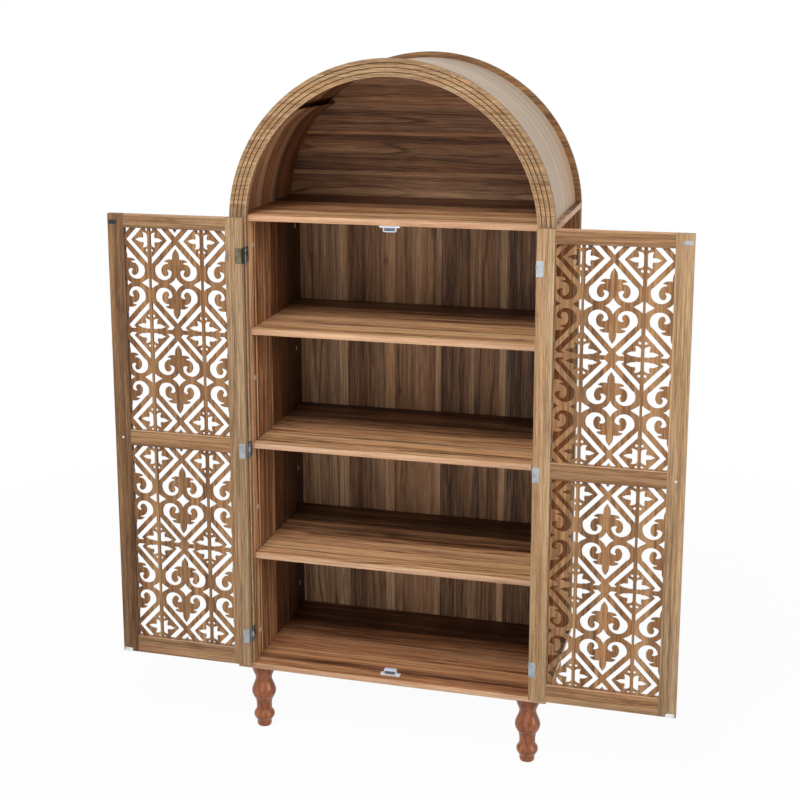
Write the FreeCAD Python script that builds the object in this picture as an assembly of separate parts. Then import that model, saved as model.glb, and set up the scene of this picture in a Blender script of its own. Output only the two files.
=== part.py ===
import FreeCAD, Part
import math
import os

# A tall display cabinet with an arched hood, two pierced doors that stand open
# and four turned legs. Millimetres, +Z up, the front faces -Y, the left is -X.
# Heights are worked out from the floor and depths from the front of the stiles.

V = FreeCAD.Vector

# Case
case_width = 800.0
case_depth = 450.0
case_height = 1183.0
leg_height = 177.0
board_thickness = 15.0
side_thickness = 27.0
back_thickness = 5.0
back_rebate = 8.0
stile_width = 42.5
frame_thickness = 18.0
joinery_gap = 0.2
overrun = 5.0
turning_sides = 18

# Grooves run along the front stiles and the front arch
groove_count = 3
groove_width = 2.4
groove_depth = 1.6

# Arch: its centre lies a little below the top panel's upper face
arch_centre_drop = 20.0
stile_joint_rise = 22.0
foot_joint_angle = 25.5
skin_thickness = 2.0
skin_setback = 14.0
seam_angle = 133.0
seam_front = 8.0
seam_rear = 11.0

# Shelves rest on small steel angles, four to a shelf
shelf_count = 3
shelf_pitch = 294.0
shelf_setback = 3.0
shelf_end_gap = 1.0
shelf_rear_gap = 3.0
clip_width = 15.0
clip_reach = 12.0
clip_thickness = 1.5
clip_inset = 30.0

# Turned legs, as radii and heights from the floor
leg_inset_side = 51.0
leg_inset_front = 46.5
leg_top_radius = 30.5
leg_top_rim = 7.0
leg_neck_radius = 21.5
leg_neck_height = 148.0
leg_bulb_radius = 32.0
leg_bulb_height = 99.0
leg_bulb_half = 28.5
leg_shaft_radius = 21.5
leg_bead_radius = 27.5
leg_bead_height = 25.5
leg_bead_half = 10.0
leg_foot_radius = 20.0
leg_foot_toe = 18.0
leg_bulb_facets = 4
leg_bead_facets = 2
tenon_width = 26.0
tenon_length = 10.0
tenon_fit = 0.1

# Doors, as they hang when shut: the outer face lies on the front plane
door_thickness = 17.5
door_stile_width = 42.0
top_rail_width = 34.0
middle_rail_width = 40.0
bottom_rail_width = 44.5
door_hinge_gap = 2.5
door_centre_gap = 3.0
door_bottom_gap = 3.0
door_top_drop = 2.0
panel_thickness = 5.5
panel_groove = 8.0
panel_edge_gap = 0.5

# Knobs stand on the doors' outer faces
knob_height = 604.5
knob_length = 24.0
knob_foot_radius = 7.0
knob_neck_radius = 5.0
knob_neck_length = 8.0
knob_head_radius = 13.0
knob_head_length = 15.0
knob_face_radius = 11.0

# Hinges: three to a door, the barrel stands in front of the stile
hinge_length = 38.0
hinge_leaf = 1.0
hinge_leaf_width = 17.0
hinge_axis_out = 3.5
hinge_knuckle_radius = 3.0
hinge_pin_radius = 1.4
hinge_pin_fit = 0.03
hinge_knuckle_gap = 0.3
hinge_knuckle_facets = 8
hinge_pin_facets = 12
hinge_low_inset = 80.0
hinge_high_inset = 93.5

# Magnetic catches under the top panel and on the bottom panel
catch_width = 50.0
catch_height = 15.0
catch_depth = 15.0
catch_wall = 3.0
catch_fit = 0.1
catch_clearance = 0.3
pole_thickness = 1.2
strike_width = 22.0
strike_height = 10.0
strike_thickness = 1.0
strike_inset = 14.5

# Fretwork cells: half a cell runs from the star's centre to a bar and to a crossing
cell_across_share = 0.2583
cell_up_share = 0.209
middle_band_share = 0.0193
star_shares = ((0.286, 0.0), (0.113, 0.072), (0.0, 0.178))
wedge_shares = ((0.953, 0.130), (0.650, 0.0))
slot_apex_shares = (0.886, 0.671)
slot_end_shares = (0.064, 0.565, 0.408)
tulip_shares = ((0.060, 0.114), (0.279, 0.173), (0.229, 0.046), (0.543, 0.0))
heart_apex_share = 0.92
scroll_centre_shares = (0.471, 0.301)
scroll_radius_shares = (0.339, 0.216)
scroll_start_angle = 137.0
scroll_sweep = 216.0
scroll_facets = 4
curl_shares = (
    (0.315, 0.320),
    (0.390, 0.172),
    (0.540, 0.270),
    (0.470, 0.435),
    (0.285, 0.490),
    (0.430, 0.515),
    (0.120, 0.569),
)
spike_tip_share = 0.805

# Places that follow from the sizes above
half_width = case_width / 2
floor_top = leg_height + board_thickness
case_top = leg_height + case_height
ceiling = case_top - board_thickness
reveal = half_width - stile_width
side_outer = reveal + side_thickness
frame_back = frame_thickness
rear_frame = case_depth - frame_thickness
back_front = rear_frame - back_thickness
arch_z = case_top - arch_centre_drop
skin_outer = half_width - skin_setback
liner_outer = skin_outer - skin_thickness
liner_inner = liner_outer - skin_thickness
shelf_front = frame_back + shelf_setback
shelf_rear = back_front - shelf_rear_gap
hinge_x = reveal
hinge_y = -hinge_axis_out
door_edge = reveal - door_hinge_gap
door_free = door_centre_gap / 2
door_bottom = floor_top + door_bottom_gap
door_top = case_top - door_top_drop
door_width = door_edge - door_free
window_width = door_width - 2 * door_stile_width
rails_width = bottom_rail_width + middle_rail_width + top_rail_width
window_height = (door_top - door_bottom - rails_width) / 2
middle_rail = door_bottom + bottom_rail_width + window_height
open_reach = 2 * hinge_axis_out + door_thickness + max(strike_thickness, hinge_leaf)
front_y = -(case_depth - open_reach) / 2


def box(x0, x1, y0, y1, z0, z1):
    """A block between two corners."""
    return Part.makeBox(x1 - x0, y1 - y0, z1 - z0, V(x0, y0, z0))


def rod(radius, start, end):
    """A round bar from one point to another."""
    return Part.makeCylinder(radius, (end - start).Length, start, end - start)


def outline(points):
    """A flat face from its corners in order."""
    return Part.Face(Part.makePolygon(points + points[:1]))


def turned(profile):
    """A solid turned about Z from its half section, with flats all round.

    The section's first and last points lie on the axis.
    """
    rings = []
    for point in profile[1:-1]:
        ring = []
        for i in range(turning_sides):
            turn = 2 * math.pi * i / turning_sides
            ring.append(V(point.x * math.cos(turn), point.x * math.sin(turn), point.z))
        rings.append(ring)
    faces = [outline(rings[0][::-1]), outline(rings[-1])]
    for low, high in zip(rings, rings[1:]):
        for i in range(turning_sides):
            faces.append(outline([low[i - 1], low[i], high[i], high[i - 1]]))
    return Part.makeSolid(Part.makeShell(faces))


def mirrored(shape):
    """The same shape on the other side of the middle plane."""
    return shape.mirror(V(0, 0, 0), V(1, 0, 0))


def save(node, shapes):
    """Write a node with its solids set in the part's frame."""
    solids = [solid.copy() for shape in shapes for solid in shape.Solids]
    for solid in solids:
        solid.translate(V(0, front_y, 0))
    shape = solids[0] if len(solids) == 1 else Part.makeCompound(solids)
    shape.exportStep("parts/" + node + ".step")


def save_pair(name, shapes):
    """Write a right-hand node and its left-hand mirror."""
    save(name + "_right", shapes)
    save(name + "_left", [mirrored(shape) for shape in shapes])


# Case

def leg_centres():
    """The leg axes, where they meet the bottom panel."""
    across = half_width - leg_inset_side
    deep = (leg_inset_front, case_depth - leg_inset_front)
    return [V(x, y, leg_height) for x in (-across, across) for y in deep]


def tenon(centre, gap):
    """The square peg on a leg's head, with a gap all round for its mortise."""
    half = tenon_width / 2 + gap
    high = leg_height + tenon_length + gap
    x, y = centre.x, centre.y
    return box(x - half, x + half, y - half, y + half, leg_height, high)


def bottom_panel():
    """The bottom panel, with a blind mortise over each leg."""
    panel = box(-half_width, half_width, 0, case_depth, leg_height, floor_top)
    return panel.cut([tenon(centre, tenon_fit) for centre in leg_centres()])


def top_panel():
    """The top panel lies behind the front stiles and over the rear ones."""
    return box(-half_width, half_width, frame_back, case_depth, ceiling, case_top)


def shelf_tops():
    """Upper faces of the shelves, evenly spaced from the bottom panel."""
    return [floor_top + shelf_pitch * (i + 1) for i in range(shelf_count)]


def side_panel():
    """The right side, rebated for the back."""
    side = box(reveal, side_outer, frame_back, rear_frame, floor_top, ceiling)
    deep = reveal + back_rebate + joinery_gap
    return side.cut(box(reveal, deep, back_front, rear_frame, floor_top, ceiling))


def shelf_clips():
    """Steel angles on the right side, under both ends of each shelf."""
    clips = []
    for top in shelf_tops():
        high = top - board_thickness
        low = high - clip_reach
        for y in (shelf_front + clip_inset, shelf_rear - clip_inset - clip_width):
            tail = y + clip_width
            upright = box(reveal - clip_thickness, reveal, y, tail, low, high)
            tab = box(reveal - clip_reach, reveal, y, tail, high - clip_thickness, high)
            clips.append(upright.fuse(tab).removeSplitter())
    return clips


def back_panel():
    """The thin back, let into the rebates of the sides."""
    edge = reveal + back_rebate
    return box(-edge, edge, back_front, rear_frame, floor_top, ceiling)


def shelf(top):
    """A loose shelf below the given height."""
    end = reveal - shelf_end_gap
    return box(-end, end, shelf_front, shelf_rear, top - board_thickness, top)


def rear_stile():
    """The right rear stile stands behind the side and under the top panel."""
    return box(reveal, half_width, rear_frame, case_depth, floor_top, ceiling)


# Arch

def moulding(grooves):
    """Section of the front frame at the arch's springing, with vee grooves."""
    pitch = stile_width / (groove_count + 1)
    points = [V(reveal, frame_thickness, arch_z), V(reveal, 0, arch_z)]
    for i in range(groove_count if grooves else 0):
        middle = reveal + pitch * (i + 1)
        points.append(V(middle - groove_width / 2, 0, arch_z))
        points.append(V(middle, groove_depth, arch_z))
        points.append(V(middle + groove_width / 2, 0, arch_z))
    points.append(V(half_width, 0, arch_z))
    points.append(V(half_width, frame_thickness, arch_z))
    return outline(points)


def arch_sector(start, end, grooves, depth=0):
    """Part of an arch ring between two angles above the right springing."""
    face = moulding(grooves)
    face.translate(V(0, depth, 0))
    face.rotate(V(0, 0, arch_z), V(0, -1, 0), start)
    return face.revolve(V(0, 0, arch_z), V(0, -1, 0), end - start)


def stile_joint_angle():
    """Angle at which the front stile meets the arch."""
    middle = half_width - stile_width / 2
    rise = arch_centre_drop + stile_joint_rise
    return math.degrees(math.asin(rise / middle))


def front_stile():
    """The right front stile, with the start of the arch at its head."""
    post = moulding(True).extrude(V(0, 0, floor_top - arch_z))
    head = arch_sector(0, stile_joint_angle(), True)
    return post.fuse(head).removeSplitter()


def above_top(shape):
    """What is left of a shape above the top panel."""
    wide = half_width + overrun
    low = arch_z - wide
    return shape.cut(box(-wide, wide, 0, case_depth + overrun, low, case_top))


def half_tube(outer, inner):
    """A half tube over the top panel, between the two arch rings."""
    start = V(0, frame_back, arch_z)
    end = V(0, rear_frame, arch_z)
    tube = rod(outer, start, end).cut(rod(inner, start, end))
    low = arch_z - outer - overrun
    keep = box(-outer - overrun, outer + overrun, frame_back, rear_frame, low, case_top)
    return tube.cut(keep)


def seam_wedge():
    """The open seam of the liner, wider at the rear than at the front."""
    low = liner_inner - overrun
    corners = [
        V(low, frame_back - overrun, -seam_front / 2),
        V(low, rear_frame + overrun, -seam_rear / 2),
        V(low, rear_frame + overrun, seam_rear / 2),
        V(low, frame_back - overrun, seam_front / 2),
    ]
    wedge = outline(corners).extrude(V(skin_thickness + 2 * overrun, 0, 0))
    wedge.rotate(V(0, 0, 0), V(0, -1, 0), seam_angle)
    wedge.translate(V(0, 0, arch_z))
    return wedge


def liners():
    """The two inner sheets of the hood, on each side of the seam."""
    tube = half_tube(liner_outer - joinery_gap / 2, liner_inner)
    pieces = tube.cut(seam_wedge()).Solids
    return sorted(pieces, key=lambda piece: piece.CenterOfMass.x)


def arch_back():
    """The half-round back of the niche, inside the liner."""
    start = V(0, back_front, arch_z)
    end = V(0, rear_frame, arch_z)
    return above_top(rod(liner_inner - joinery_gap, start, end))


# Legs

def swelling(base, middle, radius, top, half, facets):
    """Profile points of a swelling between two radii, from the bottom up."""
    points = []
    for i in range(1, facets):
        share = i / facets
        flat = base + (top - base) * share
        bulge = math.sin(math.pi * share)
        points.append(V(flat + (radius - flat) * bulge, 0, middle + half * (2 * share - 1)))
    return points


def leg_profile():
    """Half section of a leg from the floor to its head."""
    bulb_low = leg_bulb_height - leg_bulb_half
    bulb_high = leg_bulb_height + leg_bulb_half
    points = [V(0, 0, 0), V(leg_foot_toe, 0, 0)]
    points.append(V(leg_foot_radius, 0, leg_bead_height - leg_bead_half))
    points += swelling(
        leg_foot_radius,
        leg_bead_height,
        leg_bead_radius,
        leg_shaft_radius,
        leg_bead_half,
        leg_bead_facets,
    )
    points.append(V(leg_shaft_radius, 0, leg_bead_height + leg_bead_half))
    points.append(V(leg_shaft_radius, 0, bulb_low))
    points += swelling(
        leg_shaft_radius,
        leg_bulb_height,
        leg_bulb_radius,
        leg_neck_radius,
        leg_bulb_half,
        leg_bulb_facets,
    )
    points.append(V(leg_neck_radius, 0, bulb_high))
    points.append(V(leg_neck_radius, 0, leg_neck_height))
    points.append(V(leg_top_radius, 0, leg_height - leg_top_rim))
    points.append(V(leg_top_radius, 0, leg_height))
    points.append(V(0, 0, leg_height))
    return points


def turned_leg(centre):
    """One turned leg with the tenon that holds it."""
    leg = turned(leg_profile())
    leg.translate(V(centre.x, centre.y, 0))
    return leg.fuse(tenon(centre, 0))


# Catches

def catch_origin(upper):
    """Height of the catch's lower face."""
    return ceiling - catch_height if upper else floor_top


def catch_front():
    """The catch stops just short of the strike on the shut door."""
    return door_thickness + strike_thickness + catch_clearance


def catch_pocket(upper, gap):
    """The hollow of a catch, less a gap all round."""
    side = catch_width / 2 - catch_wall - gap
    low = catch_origin(upper) + catch_wall + gap
    high = catch_origin(upper) + catch_height - catch_wall - gap
    deep = catch_front() + catch_depth - catch_wall - gap
    return box(-side, side, catch_front(), deep, low, high)


def catch_housing(upper):
    """The plastic case of a catch, open at the front."""
    low = catch_origin(upper)
    side = catch_width / 2
    front = catch_front()
    case = box(-side, side, front, front + catch_depth, low, low + catch_height)
    return case.cut(catch_pocket(upper, 0))


def catch_poles(upper):
    """The two steel plates that hold the magnet between them."""
    pocket = catch_pocket(upper, catch_fit).BoundBox
    ends = (pocket.ZMin, pocket.ZMax - pole_thickness)
    return [
        box(pocket.XMin, pocket.XMax, pocket.YMin, pocket.YMax, z, z + pole_thickness)
        for z in ends
    ]


def catch_magnet(upper):
    """The magnet between the pole plates."""
    pocket = catch_pocket(upper, catch_fit).BoundBox
    low = pocket.ZMin + pole_thickness
    high = pocket.ZMax - pole_thickness
    front = pocket.YMin + pole_thickness
    return box(pocket.XMin, pocket.XMax, front, pocket.YMax, low, high)


# Doors, drawn shut on the right and then swung open

def opened(shapes):
    """Shapes of the shut right door, swung to where it stands open."""
    turned = [shape.copy() for shape in shapes]
    for shape in turned:
        shape.rotate(V(hinge_x, hinge_y, 0), V(0, 0, 1), 180)
    return turned


def groove_box(x0, x1, z0, z1, gap):
    """A slab in the middle of the door's thickness, for grooves and tongues."""
    half = panel_thickness / 2 + gap
    middle = door_thickness / 2
    return box(x0, x1, middle - half, middle + half, z0, z1)


def door_stile(edge, inward):
    """A door stile with its groove on the side that faces the window."""
    low, high = sorted((edge, edge + inward * door_stile_width))
    stile = box(low, high, 0, door_thickness, door_bottom, door_top)
    lip = high - panel_groove if inward > 0 else low - overrun
    tail = high + overrun if inward > 0 else low + panel_groove
    return stile.cut(groove_box(lip, tail, door_bottom, door_top, joinery_gap / 2))


def door_rail(low, width, below, above):
    """A rail with a tongue at each end and grooves below or above."""
    left = door_free + door_stile_width
    right = left + window_width
    high = low + width
    tongue = panel_groove - panel_edge_gap
    rail = box(left, right, 0, door_thickness, low, high)
    rail = rail.fuse(groove_box(left - tongue, right + tongue, low, high, 0))
    wide = (left - panel_groove - overrun, right + panel_groove + overrun)
    if below:
        slot = groove_box(*wide, low - overrun, low + panel_groove, joinery_gap / 2)
        rail = rail.cut(slot)
    if above:
        slot = groove_box(*wide, high - panel_groove, high + overrun, joinery_gap / 2)
        rail = rail.cut(slot)
    return rail


def on_sheet(across, up):
    """A point of the fretwork sheet, from its middle."""
    return V(across, 0, up)


def reflected(points, across, up):
    """Share points turned over left to right or top to bottom."""
    return [(across * x, up * y) for x, y in points]


def full_outline(half):
    """Both halves of an outline that starts and ends on its own axis."""
    return half + [(-x, y) for x, y in reversed(half[1:-1])]


def heart_shares():
    """The heart above a star, with a curl on each side of the spike."""
    half = [(0, heart_apex_share)]
    for i in range(scroll_facets + 1):
        turn = math.radians(scroll_start_angle + scroll_sweep * i / scroll_facets)
        x = -scroll_centre_shares[0] + scroll_radius_shares[0] * math.cos(turn)
        y = scroll_centre_shares[1] + scroll_radius_shares[1] * math.sin(turn)
        half.append((x, y))
    half += [(-x, y) for x, y in curl_shares]
    half.append((0, spike_tip_share))
    return full_outline(half)


def star_outline():
    """The four-pointed star between the scrolls."""
    first = list(star_shares)
    right = first + reflected(first[1:-1][::-1], -1, 1)
    upper = right[:3] + [(-x, y) for x, y in reversed(star_shares[:-1])]
    return upper + [(-x, -y) for x, y in upper[1:-1]]


def wedge_outline():
    """The curved triangle beside a bar."""
    return list(wedge_shares) + reflected(wedge_shares[:-1][::-1], 1, -1)


def slot_outline():
    """The bent slot that edges a diamond, from the diamond's centre."""
    outer, inner = slot_apex_shares
    beside, tip, corner = slot_end_shares
    upper = [(outer, 0), (beside, tip), (beside, corner), (inner, 0)]
    return upper + [(beside, -corner), (beside, -tip)]


def tulip_outline():
    """The flower beside a bar, from the diamond's centre."""
    return list(tulip_shares) + reflected(tulip_shares[:-1][::-1], 1, -1)


def cell_outlines():
    """Every hole of one cell, as shares from the star's centre."""
    holes = [star_outline()]
    for side in (-1, 1):
        holes.append(reflected(heart_shares(), 1, side))
        holes.append(reflected(wedge_outline(), side, 1))
    return holes


def diamond_outlines():
    """Holes on both sides of a bar, as shares from the diamond's centre."""
    return [
        reflected(shares, side, 1)
        for side in (-1, 1)
        for shares in (slot_outline(), tulip_outline())
    ]


def placed(shares, across, up, cell):
    """A hole's outline moved to a cell or diamond of the sheet."""
    half_across, half_up = cell
    return outline(
        [on_sheet((across + x) * half_across, (up + y) * half_up) for x, y in shares]
    )


def fretwork_holes():
    """The holes of one sheet, cut off at the window and at the middle band."""
    cell = (window_width * cell_across_share, window_height * cell_up_share)
    band = window_height * middle_band_share / 2
    up = cell[1] + band * 2 + band / 2
    stars = [placed(s, a, 0, cell) for s in cell_outlines() for a in (-2, 0, 2)]
    crossings = [
        placed(s, a, b, cell) for s in diamond_outlines() for a in (-1, 1) for b in (-1, 1)
    ]
    tips = [placed(reflected(heart_shares(), 1, -1), a, 2, cell) for a in (-2, 0, 2)]
    field = Part.makeCompound(stars + crossings + tips)
    field.translate(V(0, 0, up))
    side = window_width / 2
    high = window_height / 2
    window = outline(
        [V(-side, 0, band), V(side, 0, band), V(side, 0, high), V(-side, 0, high)]
    )
    upper = field.common(window)
    lower = upper.mirror(V(0, 0, 0), V(0, 0, 1))
    return upper.Faces + lower.Faces


def fretwork_sheet():
    """The pierced sheet about its own middle, with its rim in the grooves."""
    rim = panel_groove - panel_edge_gap
    side = window_width / 2 + rim
    high = window_height / 2 + rim
    half = panel_thickness / 2
    sheet = box(-side, side, -half, half, -high, high)
    cutters = []
    for face in fretwork_holes():
        face.translate(V(0, -half - overrun, 0))
        cutters.append(face.extrude(V(0, panel_thickness + 2 * overrun, 0)))
    return sheet.cut(cutters)


def fretwork(sheet, low):
    """A sheet set in the window above the given height."""
    panel = sheet.copy()
    across = door_free + door_stile_width + window_width / 2
    panel.translate(V(across, door_thickness / 2, low + window_height / 2))
    return panel


def knob():
    """A turned knob on the outer face of the free stile."""
    profile = [
        V(0, 0, 0),
        V(knob_foot_radius, 0, 0),
        V(knob_neck_radius, 0, knob_neck_length),
        V(knob_head_radius, 0, knob_head_length),
        V(knob_face_radius, 0, knob_length),
        V(0, 0, knob_length),
    ]
    shape = turned(profile)
    shape.rotate(V(0, 0, 0), V(1, 0, 0), 90)
    shape.translate(V(door_free + door_stile_width / 2, 0, leg_height + knob_height))
    return shape


def strike(upper):
    """The plate that a catch pulls on."""
    across = door_free + strike_inset
    middle = catch_origin(upper) + catch_height / 2
    x0 = across - strike_width / 2
    z0 = middle - strike_height / 2
    inner = door_thickness
    return box(x0, x0 + strike_width, inner, inner + strike_thickness, z0, z0 + strike_height)


# Hinges

def hinge_centres():
    """Heights of the hinge middles: one near each end and one halfway."""
    low = door_bottom + hinge_low_inset
    high = door_top - hinge_high_inset
    return (low, (low + high) / 2, high)


def knuckle_spans(middle):
    """Heights of a hinge's three knuckles, from the bottom up."""
    pitch = hinge_length / 3
    trim = hinge_knuckle_gap / 2
    low = middle - hinge_length / 2
    return [
        (low, low + pitch - trim),
        (low + pitch + trim, low + 2 * pitch - trim),
        (low + 2 * pitch + trim, low + hinge_length),
    ]


def barrel(radius, facets, low, high):
    """A length of the hinge about its axis, with a flat for each step of its round."""
    points = []
    for i in range(facets):
        turn = 2 * math.pi * (i + 1 / 2) / facets
        x = hinge_x + radius * math.cos(turn)
        y = hinge_y + radius * math.sin(turn)
        points.append(V(x, y, low))
    return outline(points).extrude(V(0, 0, high - low))


def knuckle(low, high):
    """A rolled knuckle."""
    return barrel(hinge_knuckle_radius, hinge_knuckle_facets, low, high)


def bore(low, high):
    """The hole of a knuckle: its flats clear the pin's corners as the door turns."""
    radius = (hinge_pin_radius + hinge_pin_fit) / math.cos(math.pi / hinge_pin_facets)
    return barrel(radius, hinge_pin_facets, low, high)


def frame_leaf(middle):
    """The leaf on the stile, with two knuckles and the pin riveted in them."""
    low = middle - hinge_length / 2
    high = middle + hinge_length / 2
    root = hinge_y + hinge_knuckle_radius / 2
    leaf = box(reveal - hinge_leaf, reveal, 0, hinge_leaf_width, low, high)
    for z0, z1 in knuckle_spans(middle)[::2]:
        leaf = leaf.fuse(box(reveal - hinge_leaf, reveal, root, 0, z0, z1))
        leaf = leaf.fuse(knuckle(z0, z1))
    pin = barrel(hinge_pin_radius, hinge_pin_facets, low, high)
    return leaf.fuse(pin).removeSplitter()


def door_leaf(middle):
    """The leaf on the door's edge, bent round onto its inner face."""
    low = middle - hinge_length / 2
    high = middle + hinge_length / 2
    back = door_thickness + hinge_leaf
    edge = door_edge + hinge_leaf
    tail = door_edge - hinge_leaf_width
    leaf = box(door_edge, edge, 0, back, low, high)
    leaf = leaf.fuse(box(tail, edge, door_thickness, back, low, high))
    z0, z1 = knuckle_spans(middle)[1]
    leaf = leaf.fuse(box(door_edge, edge, hinge_y, 0, z0, z1))
    leaf = leaf.fuse(knuckle(z0, z1))
    return leaf.cut(bore(low, high)).removeSplitter()


def with_mirrors(shapes):
    """Shapes of the right side together with those of the left."""
    return shapes + [mirrored(shape) for shape in shapes]


def save_case():
    """Write the boards, stiles, shelves and legs."""
    save("bottom_panel", [bottom_panel()])
    save("top_panel", [top_panel()])
    save("back_panel", [back_panel()])
    save_pair("side_panel", [side_panel()])
    save_pair("front_stile", [front_stile()])
    save_pair("rear_stile", [rear_stile()])
    for name, top in zip(("lower", "middle", "upper"), shelf_tops()):
        save("shelf_" + name, [shelf(top)])
    save("shelf_clips", with_mirrors(shelf_clips()))
    save("turned_legs", [turned_leg(centre) for centre in leg_centres()])


def save_arch():
    """Write the two arch rings, the hood and the niche's back."""
    foot = foot_joint_angle
    save("front_arch_feet", with_mirrors([arch_sector(stile_joint_angle(), foot, True)]))
    save("front_arch_crown", [arch_sector(foot, 180 - foot, True)])
    rear_foot = above_top(arch_sector(0, foot, False, rear_frame))
    save("rear_arch_feet", with_mirrors([rear_foot]))
    save("rear_arch_crown", [arch_sector(foot, 180 - foot, False, rear_frame)])
    save("hood_skin", [half_tube(skin_outer, liner_outer)])
    left, right = liners()
    save("hood_liner_left", [left])
    save("hood_liner_right", [right])
    save("arch_back_panel", [arch_back()])


def save_catches():
    """Write the two catches."""
    both = (False, True)
    save("catch_housings", [catch_housing(upper) for upper in both])
    save("catch_pole_plates", [plate for upper in both for plate in catch_poles(upper)])
    save("catch_magnets", [catch_magnet(upper) for upper in both])


def save_hinges():
    """Write the hinge pieces that stay on the case."""
    save("hinge_frame_leaves", with_mirrors([frame_leaf(z) for z in hinge_centres()]))


def save_doors():
    """Write both doors, standing open."""
    sheet = fretwork_sheet()
    top_rail = door_top - top_rail_width
    pieces = {
        "door_hinge_stile": [door_stile(door_edge, -1)],
        "door_free_stile": [door_stile(door_free, 1)],
        "door_bottom_rail": [door_rail(door_bottom, bottom_rail_width, False, True)],
        "door_middle_rail": [door_rail(middle_rail, middle_rail_width, True, True)],
        "door_top_rail": [door_rail(top_rail, top_rail_width, True, False)],
        "door_lower_fretwork": [fretwork(sheet, door_bottom + bottom_rail_width)],
        "door_upper_fretwork": [fretwork(sheet, middle_rail + middle_rail_width)],
        "door_fittings": [knob(), strike(False), strike(True)],
        "door_hinge_leaves": [door_leaf(z) for z in hinge_centres()],
    }
    for name, shapes in pieces.items():
        save_pair(name, opened(shapes))


os.makedirs("parts", exist_ok=True)
save_case()
save_arch()
save_catches()
save_hinges()
save_doors()
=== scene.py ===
"""Looks of a tall carved cabinet: an arched hood, two pierced doors and turned legs.

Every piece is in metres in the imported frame: +Z up, the front faces -Y. Sizes in the
classes are in millimetres, as a maker reads them, and MM turns them into metres.
"""

import logging
import math
from collections.abc import Callable
from dataclasses import dataclass, field, replace
from enum import Enum

import bmesh
import bpy
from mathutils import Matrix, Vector


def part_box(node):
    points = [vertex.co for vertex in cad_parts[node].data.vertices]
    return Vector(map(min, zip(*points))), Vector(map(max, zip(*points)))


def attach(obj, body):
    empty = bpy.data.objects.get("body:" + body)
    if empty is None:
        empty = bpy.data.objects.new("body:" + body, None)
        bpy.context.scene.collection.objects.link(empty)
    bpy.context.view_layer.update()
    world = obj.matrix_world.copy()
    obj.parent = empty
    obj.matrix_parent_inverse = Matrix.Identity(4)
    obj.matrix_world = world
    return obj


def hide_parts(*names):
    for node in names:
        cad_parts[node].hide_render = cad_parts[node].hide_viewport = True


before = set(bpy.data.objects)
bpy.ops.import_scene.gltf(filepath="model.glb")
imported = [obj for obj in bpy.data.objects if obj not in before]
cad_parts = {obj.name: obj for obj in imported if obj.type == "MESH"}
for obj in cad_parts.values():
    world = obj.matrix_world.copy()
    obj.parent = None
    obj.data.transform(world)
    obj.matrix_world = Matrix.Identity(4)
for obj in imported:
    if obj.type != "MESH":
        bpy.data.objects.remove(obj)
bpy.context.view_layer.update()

MM = 0.001
WELD = 1e-6  # Points nearer to each other than this, in metres, are one.
SLIVER = 1e-7  # Points nearer to a cut than this, in metres, are on it.
LEVEL = 0.3  # A face belongs to an axis where its normal has more than this of it.
CAP_SIDES = 8  # A face with more sides than this is a cut end of the ring.
LOG = logging.getLogger("cabinet")

Point2 = tuple[float, float]
Triple = tuple[float, float, float]
Colour = Triple
Socket = bpy.types.NodeSocket
Material = bpy.types.Material
Mesh = bpy.types.Mesh
Face = bpy.types.MeshPolygon
Piece = bpy.types.Object
Shape = bmesh.types.BMesh

LOOK_AT = Vector((0, 0, 0.9))
UP = Vector((0, 0, 1))
FORWARD = Vector((0, -1, 0))
ORIGIN = Vector((0, 0, 0))


def srgb(red: int, green: int, blue: int) -> Colour:
    """A colour as seen on a screen, turned into linear light.

    Args:
        red, green, blue: Screen values from 0 to 255.

    Returns:
        The three linear values.
    """
    return tuple(
        c / 12.92 if c <= 0.04045 else ((c + 0.055) / 1.055) ** 2.4
        for c in (red / 255, green / 255, blue / 255)
    )


class Grain(Enum):
    """Which way the fibres of a board run."""

    ACROSS = "x"
    UPRIGHT = "z"
    SWEEP = "uv"


class Side(Enum):
    """A side of the cabinet, with the sign of its X."""

    LEFT = -1
    RIGHT = 1

    @property
    def label(self) -> str:
        """The side's name as the nodes end in it."""
        return self.name.lower()


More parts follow.
